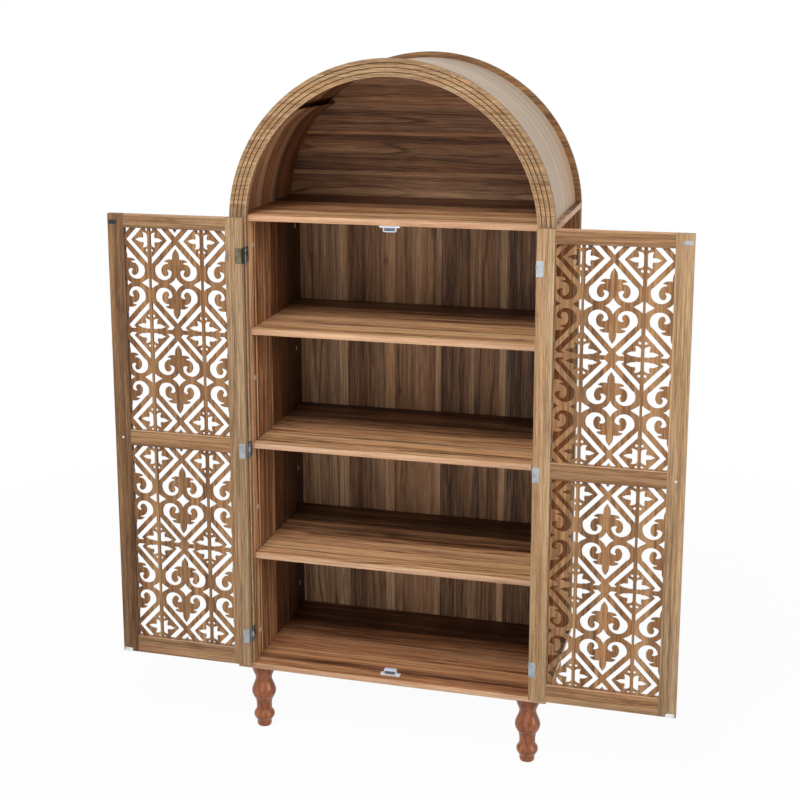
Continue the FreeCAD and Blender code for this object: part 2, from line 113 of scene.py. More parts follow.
class Tree:
    """A node tree under construction, of a material or of the world."""

    def __init__(self, owner: bpy.types.ID, output: str) -> None:
        """Empty the tree and give it an output.

        Args:
            owner: The material or world.
            output: Node type of its output, without the ShaderNode prefix.
        """
        owner.use_nodes = True
        self.nodes = owner.node_tree.nodes
        self.links = owner.node_tree.links
        self.nodes.clear()
        self.output = self.add(output)

    def add(self, kind: str, settings: dict | None = None, **inputs) -> bpy.types.Node:
        """Add a node.

        Args:
            kind: Node type without its ShaderNode prefix.
            settings: Properties of the node.
            inputs: Values or sockets for its inputs, with underscores for spaces.

        Returns:
            The new node.
        """
        node = self.nodes.new("ShaderNode" + kind)
        for key, value in (settings or {}).items():
            setattr(node, key, value)
        for key, value in inputs.items():
            self.feed(node.inputs[key.replace("_", " ")], value)
        return node

    def feed(self, socket: Socket, value: object) -> None:
        """Link or set one input."""
        if isinstance(value, Socket):
            self.links.new(value, socket)
        else:
            socket.default_value = value

    def math(self, operation: str, first: object, second: object = 0.0) -> Socket:
        """A calculation on two numbers."""
        node = self.add("Math", {"operation": operation})
        self.feed(node.inputs[0], first)
        self.feed(node.inputs[1], second)
        return node.outputs[0]

    def ramp(
        self, value: object, stops: list[tuple[float, Colour]], interpolation: str = "LINEAR"
    ) -> Socket:
        """A colour ramp.

        Args:
            value: Socket that drives it.
            stops: Positions and colours, in order.
            interpolation: How it goes from one stop to the next.

        Returns:
            The colour socket.
        """
        node = self.add("ValToRGB", Fac=value)
        node.color_ramp.interpolation = interpolation
        elements = node.color_ramp.elements
        elements[0].position, elements[1].position = stops[0][0], stops[-1][0]
        for position, _ in stops[1:-1]:
            elements.new(position)
        for element, (_, colour) in zip(elements, stops):
            element.color = (*colour, 1.0)
        return node.outputs[0]

    def grey(self, value: object, low: float, high: float) -> Socket:
        """A smooth step from 0 at low to 1 at high."""
        node = self.add("MapRange", {"interpolation_type": "SMOOTHSTEP"}, Value=value)
        node.inputs["From Min"].default_value = low
        node.inputs["From Max"].default_value = high
        return node.outputs[0]

    def mix(self, factor: object, first: object, second: object, blend: str = "MIX") -> Socket:
        """Mix two colours.

        Args:
            factor: Share of the second colour.
            first, second: Sockets or linear colours.
            blend: How they mix.

        Returns:
            The colour socket.
        """
        node = self.add("Mix", {"data_type": "RGBA", "blend_type": blend})
        self.feed(node.inputs[0], factor)
        for socket, value in ((node.inputs[6], first), (node.inputs[7], second)):
            self.feed(socket, (*value, 1.0) if isinstance(value, tuple) else value)
        return node.outputs[2]

    def noise(
        self, vector: object, scale: float, detail: float = 2.0, rough: float = 0.5, distortion: float = 0.0
    ) -> Socket:
        """A noise texture's value."""
        return self.add(
            "TexNoise", Vector=vector, Scale=scale, Detail=detail, Roughness=rough, Distortion=distortion
        ).outputs[0]

    def scaled(self, vector: object, scale: Triple) -> Socket:
        """Coordinates drawn out or squeezed along their axes."""
        return self.add("Mapping", Vector=vector, Scale=scale).outputs[0]

    def vector(self, operation: str, first: object, second: object = None) -> bpy.types.Node:
        """A calculation on vectors."""
        node = self.add("VectorMath", {"operation": operation})
        self.feed(node.inputs[0], first)
        if second is not None:
            self.feed(node.inputs[1], second)
        return node

    def blended(self, factor: object, first: object, second: object) -> None:
        """End in a blend of two shaders."""
        node = self.add("MixShader")
        for socket, value in zip(node.inputs, (factor, first, second)):
            self.links.new(value, socket)
        self.links.new(node.outputs[0], self.output.inputs[0])

    def backdrop(self) -> Socket:
        """1 where the camera, a reflection or something clear sees the surroundings, else 0."""
        rays = self.add("LightPath").outputs
        seen = self.math("MAXIMUM", rays["Is Camera Ray"], rays["Is Glossy Ray"])
        return self.math("MAXIMUM", seen, rays["Is Transmission Ray"])


class Shader(Tree):
    """A material under construction."""

    def __init__(self, name: str) -> None:
        """Start an empty material.

        Args:
            name: Name of the material.
        """
        self.material = bpy.data.materials.new(name)
        super().__init__(self.material, "OutputMaterial")
        self.surface = self.add("BsdfPrincipled")
        self.links.new(self.surface.outputs[0], self.output.inputs[0])

    def place(self) -> Socket:
        """Coordinates on the object."""
        return self.add("TexCoord").outputs["Object"]

    def sweep(self) -> Socket:
        """Coordinates along a bent sheet."""
        return self.add("UVMap", {"uv_map": "Sweep"}).outputs[0]

    def finished(
        self, slot: str, base: Socket, rough: tuple[Socket, float, float], bump: tuple[Socket, float, float],
        **levels: float,
    ) -> Material:
        """Feed the surface shader.

        Args:
            slot: Not used.
            base: The colour.
            rough: What the roughness follows, how far, and its least value.
            bump: Height of the relief, its strength and its distance.
            levels: Constant inputs by name, with underscores for spaces.

        Returns:
            The material.
        """
        follow, spread, least = rough
        height, strength, distance = bump
        gloss = self.math("MULTIPLY_ADD", follow, spread)
        gloss.node.inputs[2].default_value = least
        relief = self.add("Bump", Height=height, Strength=strength, Distance=distance).outputs[0]
        for name, value in {"Base_Color": base, "Roughness": gloss, "Normal": relief, **levels}.items():
            self.feed(self.surface.inputs[name.replace("_", " ")], value)
        return self.material


@dataclass(frozen=True)
class Tones:
    """The dark, middle and light tone of one wood."""

    dark: Colour
    middle: Colour
    light: Colour


@dataclass(frozen=True)
class Bands:
    """Strips of veneer at set places; on the shelves and sides they also carry painted shade.

    Attributes:
        start: Where the first strip starts across the grain, in metres.
        span: How far the strips reach, in metres.
        steps: Share of the span where each strip starts, and its tone from 0 dark to 1 light.
    """

    start: float
    span: float
    steps: tuple[Point2, ...]


STRIP_LINE = 1.6  # Width of the dark line where two random strips meet, in mm.
STREAK_POWER, SLOW_POWER, FINE_POWER = 1.7, 0.6, 1.3  # How strongly each width of streak shows.
SLOW_SHARE, FINE_SCALE, PORE_SCALE = 0.14, 6.0, 14.0  # Their counts, as multiples of the streaks.
GROWTH_LINES = 22.0  # Contours in the whole range of the growth figure.
BLUSH: Colour = (1.06, 0.95, 0.86)  # The redder tint of some strips.
KNOT_EYE = ((1.0, 0.0, 0.5), 0.6)  # How a knot is drawn out, and how dark it is.
KNOT_SPLIT = ((4.6, 0.0, 0.1), 0.7)  # The same for the split above and below it.
KNOT_SHADE, PORE_SHADE = 0.45, 0.5  # Their tones, as shares of the wood's dark tone.


@dataclass(frozen=True)
class Veneer:
    """Wood veneer: strips of differing tone, streaks, dark growth lines and pores.

    Attributes:
        name: Material name.
        slot: Name of its material slot.
        grain: Which way the fibres run.
        tones: The wood's tones.
        strip: Width of the strips that differ in tone, in millimetres.
        strip_share: How much the strips differ.
        lines: How dark the growth lines are.
        streaks: Streaks per metre across the grain.
        contrast: How strongly the streaks show.
        shift: Moves the figure, so that two boards don't match.
        roughness: Mean roughness.
        shine: How strongly the lacquer reflects.
        stretch: How far the figure is drawn out along the grain; less is longer.
        sway: How far the fibres stray from straight, in metres.
        bands: Strips at set places instead of random ones.
        band_axis: The direction across the grain that the strips follow.
        knots: Where knots sit, as X and Z, and their radius, in metres.
    """

    name: str
    slot: str
    grain: Grain
    tones: Tones
    strip: float = 70.0
    strip_share: float = 0.35
    lines: float = 0.5
    streaks: float = 85.0
    contrast: float = 1.0
    shift: float = 0.0
    roughness: float = 0.5
    shine: float = 0.25
    stretch: float = 0.025
    sway: float = 0.016
    bands: Bands | None = None
    band_axis: Triple = (0.0, 1.0, 0.0)
    knots: tuple[Triple, ...] = ()

    def knot(self, s: Shader, place: Socket, spot: Triple) -> Socket:
        """A dark eye, drawn out along upright fibres, with a split above and below it.

        Args:
            s: The material under construction.
            place: Coordinates on the wood.
            spot: Its X and Z and its radius.

        Returns:
            How dark the wood is, from 0 to 1.
        """
        x, z, radius = spot
        away = s.vector("SUBTRACT", place, (x, 0.0, z)).outputs[0]
        shares = []
        for squeeze, power in (KNOT_EYE, KNOT_SPLIT):
            reach = s.vector("LENGTH", s.vector("MULTIPLY", away, squeeze).outputs[0]).outputs["Value"]
            faint = s.math("SUBTRACT", 1.0, s.grey(reach, radius * 0.1, radius))
            shares.append(s.math("MULTIPLY", faint, power))
        return s.math("MAXIMUM", *shares)

    def strips(self, s: Shader, source: Socket, place: Socket) -> tuple[Socket, Socket | float]:
        """How light each strip is, and where one random strip meets the next.

        Args:
            s: The material under construction.
            source: Coordinates on the wood, for strips at set places.
            place: The same coordinates shifted, for random strips.

        Returns:
            The tone and a thin line between strips, from 0 to 1.
        """
        if self.bands:
            value = s.vector("DOT_PRODUCT", source, self.band_axis).outputs["Value"]
            share = s.math("DIVIDE", s.math("SUBTRACT", value, self.bands.start), self.bands.span)
            steps = [(at, (level, level, level)) for at, level in self.bands.steps]
            return s.add("SeparateColor", Color=s.ramp(share, steps, "CONSTANT")).outputs[0], 0.0
        value = s.vector("DOT_PRODUCT", place, self.band_axis).outputs["Value"]
        scale = 1000.0 / self.strip
        cells, edges = (
            s.add("TexVoronoi", {"voronoi_dimensions": "1D", "feature": kind}, W=value, Scale=scale)
            for kind in ("F1", "DISTANCE_TO_EDGE")
        )
        line = s.math("SUBTRACT", 1.0, s.grey(edges.outputs["Distance"], 0.0, STRIP_LINE / self.strip))
        return s.add("SeparateColor", Color=cells.outputs["Color"]).outputs[0], line

    def figure(self, s: Shader, fibre: Socket, fine: Socket, tone: Socket) -> Socket:
        """How light the wood is at each point, from about 0 to 1.

        Args:
            s: The material under construction.
            fibre: Coordinates drawn out along the grain.
            fine: The finest streaks.
            tone: How light each strip is.

        Returns:
            The sum of the strips' tone and of streaks of three widths.
        """
        streak = s.noise(fibre, self.streaks, 6.0, 0.66, 0.2)
        slow = s.noise(fibre, self.streaks * SLOW_SHARE, 2.0, 0.5)
        total = s.math("MULTIPLY", s.math("SUBTRACT", streak, 0.5), STREAK_POWER * self.contrast)
        total = s.math("ADD", total, s.math("MULTIPLY", tone, self.strip_share))
        for wave, power in ((slow, SLOW_POWER), (fine, FINE_POWER * self.contrast)):
            total = s.math("ADD", total, s.math("MULTIPLY", s.math("SUBTRACT", wave, 0.5), power))
        return s.math("ADD", total, (1.0 - self.strip_share) * 0.5)

    def growth(self, s: Shader, fibre: Socket) -> Socket:
        """Dark growth lines that come and go, from 0 to 1."""
        contour = s.math("MULTIPLY", s.noise(fibre, self.streaks * 0.1, 1.5, 0.45, 0.4), GROWTH_LINES)
        line = s.math("SUBTRACT", 1.0, s.grey(s.math("PINGPONG", contour, 0.5), 0.0, 0.13))
        fade = s.grey(s.noise(fibre, self.streaks * 0.2, 2.0), 0.38, 0.56)
        return s.math("MULTIPLY", s.math("MULTIPLY", line, fade), self.lines)

    def build(self) -> Material:
        """Build the material."""
        s, dark = Shader(self.name), self.tones.dark
        source = s.sweep() if self.grain is Grain.SWEEP else s.place()
        drawn = (1.0, 1.0, self.stretch) if self.grain is Grain.UPRIGHT else (self.stretch, 1.0, 1.0)
        shift = (self.shift, self.shift * 0.7, self.shift * 1.3)
        place = s.add("Mapping", Vector=source, Location=shift).outputs[0]
        wave = s.add("TexNoise", Vector=place, Scale=2.2, Detail=2.0, Roughness=0.45)
        sway = s.vector("SCALE", wave.outputs[1])
        sway.inputs["Scale"].default_value = self.sway
        fibre = s.scaled(s.vector("ADD", place, sway.outputs[0]).outputs[0], drawn)
        tone, edge = self.strips(s, source, place)
        fine = s.noise(fibre, self.streaks * FINE_SCALE, 3.0, 0.65)
        stops = [(0.12, dark), (0.5, self.tones.middle), (0.88, self.tones.light)]
        base = s.ramp(self.figure(s, fibre, fine, tone), stops)
        blush = s.grey(s.noise(fibre, self.streaks * 0.3, 2.0), 0.35, 0.65)
        base = s.mix(blush, base, s.mix(1.0, base, BLUSH, "MULTIPLY"))
        lines = s.math("MAXIMUM", self.growth(s, fibre), s.math("MULTIPLY", edge, self.lines))
        base = s.mix(lines, base, dark)
        for spot in self.knots:
            base = s.mix(self.knot(s, source, spot), base, tuple(c * KNOT_SHADE for c in dark))
        pores = s.grey(s.noise(fibre, self.streaks * PORE_SCALE, 2.0, 0.7), 0.58, 0.7)
        base = s.mix(s.math("MULTIPLY", pores, 0.3), base, tuple(c * PORE_SHADE for c in dark))
        relief = s.math("SUBTRACT", fine, s.math("MULTIPLY", pores, 0.7))
        return s.finished(
            self.slot, base, (fine, 0.22, self.roughness - 0.11), (relief, 0.25, 0.0003),
            Specular_IOR_Level=self.shine,
        )


@dataclass(frozen=True)
class BentSheet:
    """The hood's outer sheet: pale, partly as painted sheen from the bright surroundings, with faint streaks
    round the bend and brown lower ends where the wood shows.
    """

    name: str = "hood_sheet"
    slot: str = "hood_ply"
    # The pale colour is partly painted sheen from the bright surroundings.
    pale: Colour = srgb(196, 175, 153)
    shade: Colour = srgb(170, 148, 126)
    brown: Colour = srgb(182, 138, 100)
    length: float = 1175.0
    brown_reach: float = 0.30

    def build(self) -> Material:
        """Build the material."""
        s = Shader(self.name)
        sweep = s.sweep()
        fibre = s.scaled(sweep, (0.02, 1.0, 1.0))
        streak, fine = s.noise(fibre, 26.0, 5.0, 0.6), s.noise(fibre, 300.0, 3.0, 0.6)
        base = s.mix(s.grey(streak, 0.38, 0.7), self.pale, self.shade)
        # Brown towards the lower ends, where the painted sheen gives way to the wood.
        along, across, _ = s.add("SeparateXYZ", Vector=sweep).outputs
        start = s.math("SUBTRACT", 1.0, s.grey(along, 0.0, self.brown_reach))
        end = s.grey(along, self.length * MM - self.brown_reach, self.length * MM)
        low = s.math("MULTIPLY", s.math("MAXIMUM", start, end), s.grey(across, 0.16, 0.42))
        base = s.mix(s.math("MULTIPLY", low, 0.8), base, self.brown)
        base = s.mix(s.math("MULTIPLY", s.grey(fine, 0.5, 0.75), 0.18), base, self.shade)
        return s.finished(self.slot, base, (fine, 0.16, 0.42), (fine, 0.12, 0.0002), Specular_IOR_Level=0.12)


@dataclass(frozen=True)
class TurnedWood:
    """Glossy reddish wood of the legs, with turning marks."""

    name: str = "leg_turned_wood"
    slot: str = "leg_wood"
    dark: Colour = srgb(89, 47, 26)
    middle: Colour = srgb(138, 78, 45)
    light: Colour = srgb(171, 107, 66)

    def build(self) -> Material:
        """Build the material."""
        s = Shader(self.name)
        source = s.place()
        fibre = s.scaled(source, (1.0, 1.0, 0.12))
        streak = s.noise(fibre, 70.0, 5.0, 0.6, 0.6)
        fine = s.noise(fibre, 500.0, 3.0, 0.6)
        total = s.math("ADD", streak, s.math("MULTIPLY", s.math("SUBTRACT", fine, 0.5), 0.35))
        base = s.ramp(total, [(0.25, self.dark), (0.5, self.middle), (0.78, self.light)])
        marks = s.noise(s.scaled(source, (0.0, 0.0, 1.0)), 900.0, 2.0, 0.6)
        return s.finished(
            self.slot, base, (fine, 0.14, 0.22), (marks, 0.18, 0.0002),
            Coat_Weight=0.12, Specular_IOR_Level=0.25, Coat_Roughness=0.18,
        )


@dataclass(frozen=True)
class Metal:
    """Plated or dull metal with faint brushing and a little wear."""

    name: str = "plated_steel"
    slot: str = "steel"
    colour: Colour = srgb(160, 163, 164)
    worn: Colour = srgb(138, 140, 140)
    roughness: float = 0.46
    metallic: float = 0.65

    def build(self) -> Material:
        """Build the material."""
        s = Shader(self.name)
        source = s.place()
        scratch = s.noise(s.scaled(source, (1.0, 1.0, 0.05)), 2600.0, 3.0, 0.6)
        cloud = s.noise(source, 90.0, 4.0, 0.6)
        base = s.mix(s.grey(cloud, 0.4, 0.68), self.colour, self.worn)
        return s.finished(
            self.slot, base, (cloud, 0.2, self.roughness - 0.1), (scratch, 0.1, 0.00008),
            Metallic=self.metallic,
        )


@dataclass(frozen=True)
class Plastic:
    """Moulded plastic, faintly mottled."""

    name: str = "catch_plastic"
    slot: str = "white_plastic"
    colour: Colour = srgb(226, 232, 244)
    shade: Colour = srgb(206, 214, 230)

    def build(self) -> Material:
        """Build the material."""
        s = Shader(self.name)
        source = s.place()
        cloud, pits = s.noise(source, 160.0, 3.0, 0.5), s.noise(source, 1500.0, 2.0, 0.6)
        base = s.mix(s.grey(cloud, 0.35, 0.7), self.colour, self.shade)
        return s.finished(self.slot, base, (cloud, 0.2, 0.28), (pits, 0.12, 0.0001))


TAN = Tones(srgb(102, 77, 54), srgb(156, 127, 94), srgb(188, 160, 124))
RAIL_TONES = Tones(srgb(96, 68, 45), srgb(144, 111, 78), srgb(174, 140, 103))
TAN_DEEP = Tones(srgb(74, 49, 31), srgb(117, 86, 56), srgb(148, 114, 78))
BROWN = Tones(srgb(84, 56, 38), srgb(162, 118, 86), srgb(204, 162, 124))
SHELF_TONES = Tones(srgb(66, 42, 27), srgb(160, 118, 84), srgb(206, 168, 126))
# Darker red-brown outer faces of the sides, partly painted shade behind the doors and under the top's
# overhang.
OUTER_AND_SHADE_TONES = Tones(srgb(72, 42, 25), srgb(112, 71, 44), srgb(144, 98, 66))
SIDE_TONES = Tones(srgb(56, 34, 20), srgb(134, 92, 62), srgb(200, 158, 118))
BACK_TONES = Tones(srgb(80, 60, 46), srgb(168, 132, 101), srgb(222, 188, 148))
NICHE_TONES = Tones(srgb(82, 58, 43), srgb(164, 124, 93), srgb(214, 174, 134))
# Burnt cut edges of the fretwork, and the painted shade inside the hood.
BURNT_AND_SHADE_TONES = Tones(srgb(60, 38, 24), srgb(94, 62, 40), srgb(126, 90, 62))
FRET_TONES = Tones(srgb(92, 62, 38), srgb(138, 102, 68), srgb(174, 136, 96))
LOW_TONES = Tones(srgb(64, 38, 25), srgb(138, 94, 66), srgb(182, 140, 102))
# Painted light on the fretwork's upward cut edges, lit from above.
LIT_TONES = Tones(srgb(122, 88, 60), srgb(164, 128, 94), srgb(192, 156, 120))
EDGE_TONES = Tones(srgb(161, 126, 98), srgb(191, 154, 123), srgb(213, 181, 152))
# Painted shade for the depth of the front ring's grooves.
GROOVE_SHADE_TONES = Tones(srgb(84, 57, 40), srgb(116, 84, 60), srgb(142, 108, 80))

# Strips down the depth of the side panels; their tones also carry painted shade, darkest over the rear part.
SIDE_STRIPS_AND_SHADE = Bands(-0.212, 0.43, (
    (0.0, 0.8), (0.12, 0.0), (0.135, 1.2), (0.16, 0.5), (0.28, 0.68), (0.40, 0.85), (0.425, 0.1),
    (0.55, 0.0),
))
NICHE_BANDS = Bands(1.345, 0.355, (
    (0.0, 0.75), (0.1, 0.45), (0.2, 0.9), (0.23, 0.4), (0.36, 0.6), (0.44, 0.2), (0.5, 0.7), (0.52, 0.4),
    (0.68, 0.6), (0.78, 0.3), (0.9, 0.5),
))
BACK_BANDS = Bands(-0.357, 0.714, (
    (0.0, 0.55), (0.07, 0.4), (0.15, 0.75), (0.185, 0.3), (0.26, 0.45), (0.335, 0.85), (0.37, 0.4),
    (0.45, 0.5), (0.53, 0.9), (0.55, 0.25), (0.66, 0.6), (0.675, 0.35), (0.77, 0.85), (0.795, 0.2),
    (0.9, 0.35),
))
BACK_KNOTS = ((-0.116, 1.188, 0.009), (-0.078, 0.83, 0.009), (-0.325, 1.195, 0.007))
# Strips down the depth of the shelves; their tones also carry painted shade, falling to darkest at the rear.
SHELF_STRIPS_AND_SHADE = Bands(-0.212, 0.43, (
    (0.0, 0.86), (0.09, 0.56), (0.17, 0.94), (0.27, 0.48), (0.36, 0.72), (0.47, 0.34), (0.58, 0.42),
    (0.66, 0.0),
))


def mesh_of(name: str, bm: Shape) -> Mesh:
    """Turn a bmesh into a mesh and free it."""
    mesh = bpy.data.meshes.new(name)
    bm.to_mesh(mesh)
    bm.free()
    return mesh


def sharp_edges(bm: Shape, angle: float) -> list[bmesh.types.BMEdge]:
    """Edges between two faces that turn by an angle in degrees or more."""
    bm.normal_update()
    return [e for e in bm.edges if len(e.link_faces) == 2 and e.calc_face_angle(0.0) >= math.radians(angle)]


def shaped(name: str, bm: Shape, smooth: float = 40.0) -> Piece:
    """Turn a bmesh into an object, smooth except over sharp edges.

    Args:
        name: Name of the piece.
        bm: The shape, which is freed.
        smooth: Edges sharper than this, in degrees, stay sharp.

    Returns:
        The object, in the scene and at the origin.
    """
    sharp = set(sharp_edges(bm, smooth))
    for edge in bm.edges:
        edge.smooth = len(edge.link_faces) == 2 and edge not in sharp
    for face in bm.faces:
        face.smooth = True
    piece = bpy.data.objects.new(name, mesh_of(name, bm))
    bpy.context.scene.collection.objects.link(piece)
    return piece


def bevel_sharp(bm: Shape, width: float, steps: int = 2, angle: float = 50.0) -> None:
    """Round the sharp edges of a closed shape.

    Args:
        bm: The shape.
        width: Bevel width in metres.
        steps: Segments of the bevel.
        angle: Only edges sharper than this, in degrees.
    """
    edges = sharp_edges(bm, angle)
    bmesh.ops.bevel(
        bm, geom=edges, offset=width, segments=steps, profile=0.5, affect="EDGES", clamp_overlap=True
    )


def add_prism(bm: Shape, section: list[Vector], run: Vector) -> None:
    """Add a closed prism: a section pushed along a run.

    Args:
        bm: Where it goes.
        section: The corners in order.
        run: The push.
    """
    low = [bm.verts.new(p) for p in section]
    high = [bm.verts.new(p + run) for p in section]
    faces = [bm.faces.new(low), bm.faces.new(high)]
    for i in range(len(section)):
        faces.append(bm.faces.new((low[i - 1], low[i], high[i], high[i - 1])))
    bmesh.ops.recalc_face_normals(bm, faces=faces)


def add_box(bm: Shape, low: Vector, high: Vector) -> None:
    """Add a block between two corners."""
    corners = [(low.x, low.y), (high.x, low.y), (high.x, high.y), (low.x, high.y)]
    add_prism(bm, [Vector((x, y, low.z)) for x, y in corners], Vector((0, 0, high.z - low.z)))


def painted(piece: Piece, finishes: tuple[Material, ...], choose: Callable[[Face], int]) -> Piece:
    """Give a piece several finishes.

    Args:
        piece: The piece.
        finishes: Its materials.
        choose: Picks the place of a face's material among them.

    Returns:
        The piece.
    """
    piece.data.materials.clear()
    for finish in finishes:
        piece.data.materials.append(finish)
    for face in piece.data.polygons:
        face.material_index = int(choose(face))
    return piece


def dressed(piece: Piece, body: str, finish: Material, *nodes: str) -> Piece:
    """Finish a piece, hang it on its body and let it stand for CAD nodes.

    Args:
        piece: The piece.
        body: CAD body that carries it.
        finish: Material, unless the piece already has its own.
        nodes: CAD nodes that it replaces.

    Returns:
        The piece.
    """
    if not piece.data.materials:
        piece.data.materials.append(finish)
    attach(piece, body)
    if nodes:
        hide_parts(*nodes)
    LOG.info("%s: %d faces on %s", piece.name, len(piece.data.polygons), body)
    return piece


def dress_node(node: str, finish: Material) -> None:
    """Give a CAD node that stays a better material."""
    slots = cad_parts[node].data.materials
    slots.clear()
    slots.append(finish)
    LOG.info("%s: kept, finished", node)


def filled(name: str, outlines: list[list[Point2]], thickness: float, arris: float) -> Mesh:
    """A flat plate in the XY plane, cut out by outlines, about Z = 0.

    Args:
        name: Name of the mesh.
        outlines: Closed outlines in metres; each one inside another is a hole.
        thickness: Thickness of the plate.
        arris: Width of the bevel on its edges.

    Returns:
        A closed mesh.
    """
    curve = bpy.data.curves.new(name, "CURVE")
    curve.dimensions = "2D"
    curve.fill_mode = "BOTH"
    curve.extrude = thickness / 2 - arris
    curve.bevel_depth = arris
    curve.bevel_resolution = 0
    curve.offset = -arris
    for outline in outlines:
        spline = curve.splines.new("POLY")
        spline.points.add(len(outline) - 1)
        for point, (x, y) in zip(spline.points, outline):
            point.co = (x, y, 0.0, 1.0)
        spline.use_cyclic_u = True
    holder = bpy.data.objects.new(name, curve)
    mesh = bpy.data.meshes.new_from_object(holder)
    bpy.data.objects.remove(holder)
    bpy.data.curves.remove(curve)
    bm = bmesh.new()
    bm.from_mesh(mesh)
    bmesh.ops.remove_doubles(bm, verts=bm.verts, dist=WELD)
    bmesh.ops.recalc_face_normals(bm, faces=bm.faces)
    bm.to_mesh(mesh)
    bm.free()
    return mesh


def circle(radius: float, sides: int, centre: Point2 = (0.0, 0.0), turn: float = 0.0) -> list[Point2]:
    """Points of a circle, anticlockwise."""
    angles = [turn + 2 * math.pi * i / sides for i in range(sides)]
    return [(centre[0] + radius * math.cos(a), centre[1] + radius * math.sin(a)) for a in angles]


def lathe(bm: Shape, profile: list[Point2], base: Vector, axis: Vector, sides: int = 48) -> None:
    """Add a turned solid.

    Args:
        bm: Where it goes.
        profile: Radius and height of each ring, from the base; it may start and end on the axis.
        base: Where the axis starts.
        axis: Which way it points.
        sides: Faces round it.
    """
    turn = axis.normalized().to_track_quat("Z", "Y").to_matrix()
    rings = []
    for radius, height in profile:
        if radius == 0.0:
            rings.append([bm.verts.new(base + turn @ Vector((0, 0, height)))])
            continue
        rings.append(
            [bm.verts.new(base + turn @ Vector((x, y, height))) for x, y in circle(radius, sides)]
        )
    faces = []
    for low, high in zip(rings, rings[1:]):
        for i in range(sides):
            a, b = low[i % len(low)], low[(i + 1) % len(low)]
            c, d = high[(i + 1) % len(high)], high[i % len(high)]
            faces.append(bm.faces.new(list(dict.fromkeys((a, b, c, d)))))
    for ring in (rings[0], rings[-1]):
        if len(ring) > 1:
            faces.append(bm.faces.new(ring))
    bmesh.ops.recalc_face_normals(bm, faces=faces)


class Repeat:
    """A Geometry Nodes tree that sets a small shape at marked places.

    The marks are points with a facing; the tree lays the shape at each one, turned to face
    that way and spun by a seeded random angle where a spin is asked for.
    """

    def __init__(self) -> None:
        """Build the tree."""
        self.tree = tree = bpy.data.node_groups.new("set_on_marks", "GeometryNodeTree")
        socket = tree.interface.new_socket
        kinds = {
            "Marks": "Geometry", "Shape": "Object", "Size": "Float", "Spin": "Float", "Seed": "Int",
            "Finish": "Material",
        }
        self.inputs = {
            name: socket(name=name, in_out="INPUT", socket_type="NodeSocket" + kind).identifier
            for name, kind in kinds.items()
        }
        socket(name="Pieces", in_out="OUTPUT", socket_type="NodeSocketGeometry")
        start, end, given, facing, align, chance, spun, turn, lay, real, paint = (
            tree.nodes.new(kind) for kind in (
                "NodeGroupInput", "NodeGroupOutput", "GeometryNodeObjectInfo",
                "GeometryNodeInputNamedAttribute", "FunctionNodeAlignRotationToVector",
                "FunctionNodeRandomValue", "FunctionNodeAxisAngleToRotation", "FunctionNodeRotateRotation",
                "GeometryNodeInstanceOnPoints", "GeometryNodeRealizeInstances", "GeometryNodeSetMaterial",
            )
        )
        facing.data_type, align.axis, turn.rotation_space = "FLOAT_VECTOR", "Z", "LOCAL"
        facing.inputs["Name"].default_value = "facing"
        spun.inputs["Axis"].default_value = UP
        least, most = [limit for limit in chance.inputs if limit.enabled][:2]
        least.default_value = 0.0
        for source, target in (
            (start.outputs["Spin"], most),
            (start.outputs["Seed"], chance.inputs["Seed"]),
            (next(drawn for drawn in chance.outputs if drawn.enabled), spun.inputs["Angle"]),
            (facing.outputs["Attribute"], align.inputs["Vector"]),
            (align.outputs[0], turn.inputs["Rotation"]),
            (spun.outputs[0], turn.inputs["Rotate By"]),
            (start.outputs["Shape"], given.inputs["Object"]),
            (start.outputs["Marks"], lay.inputs["Points"]),
            (given.outputs["Geometry"], lay.inputs["Instance"]),
            (turn.outputs[0], lay.inputs["Rotation"]),
            (start.outputs["Size"], lay.inputs["Scale"]),
            (lay.outputs[0], real.inputs[0]),
            (real.outputs[0], paint.inputs["Geometry"]),
            (start.outputs["Finish"], paint.inputs["Material"]),
            (paint.outputs[0], end.inputs[0]),
        ):
            tree.links.new(source, target)

    def lay(
        self, name: str, marks: list[tuple[Vector, Vector]], shape: Mesh, finish: Material,
        spin: float = 0.0, seed: int = 3, size: float = 1.0,
    ) -> Piece:
        """Lay a shape at each mark and turn the result into a plain mesh.

        Args:
            name: Name of the piece.
            marks: Place and facing of each one.
            shape: Mesh to lay, standing on Z.
            finish: Its material.
            spin: Largest random turn about the facing.
            seed: Seed of the random turns.
            size: Scale of each one.

        Returns:
            The piece, at the origin and with no modifier.
        """
        points = bpy.data.meshes.new(name + "_marks")
        points.from_pydata([tuple(place) for place, _ in marks], [], [])
        held = points.attributes.new("facing", "FLOAT_VECTOR", "POINT")
        held.data.foreach_set("vector", [c for _, facing in marks for c in facing])
        piece = bpy.data.objects.new(name, points)
        pattern = bpy.data.objects.new(name + "_pattern", shape)
        for made in (piece, pattern):
            bpy.context.scene.collection.objects.link(made)
        modifier = piece.modifiers.new("set_on_marks", "NODES")
        modifier.node_group = self.tree
        values = {"Shape": pattern, "Size": size, "Spin": spin, "Seed": seed, "Finish": finish}
        for key, value in values.items():
            modifier[self.inputs[key]] = value
        graph = bpy.context.evaluated_depsgraph_get()
        mesh = bpy.data.meshes.new_from_object(piece.evaluated_get(graph))
        piece.modifiers.clear()
        piece.data = mesh
        mesh.materials.clear()
        mesh.materials.append(finish)
        if "facing" in mesh.attributes:
            mesh.attributes.remove(mesh.attributes["facing"])
        bpy.data.objects.remove(pattern)
        return piece


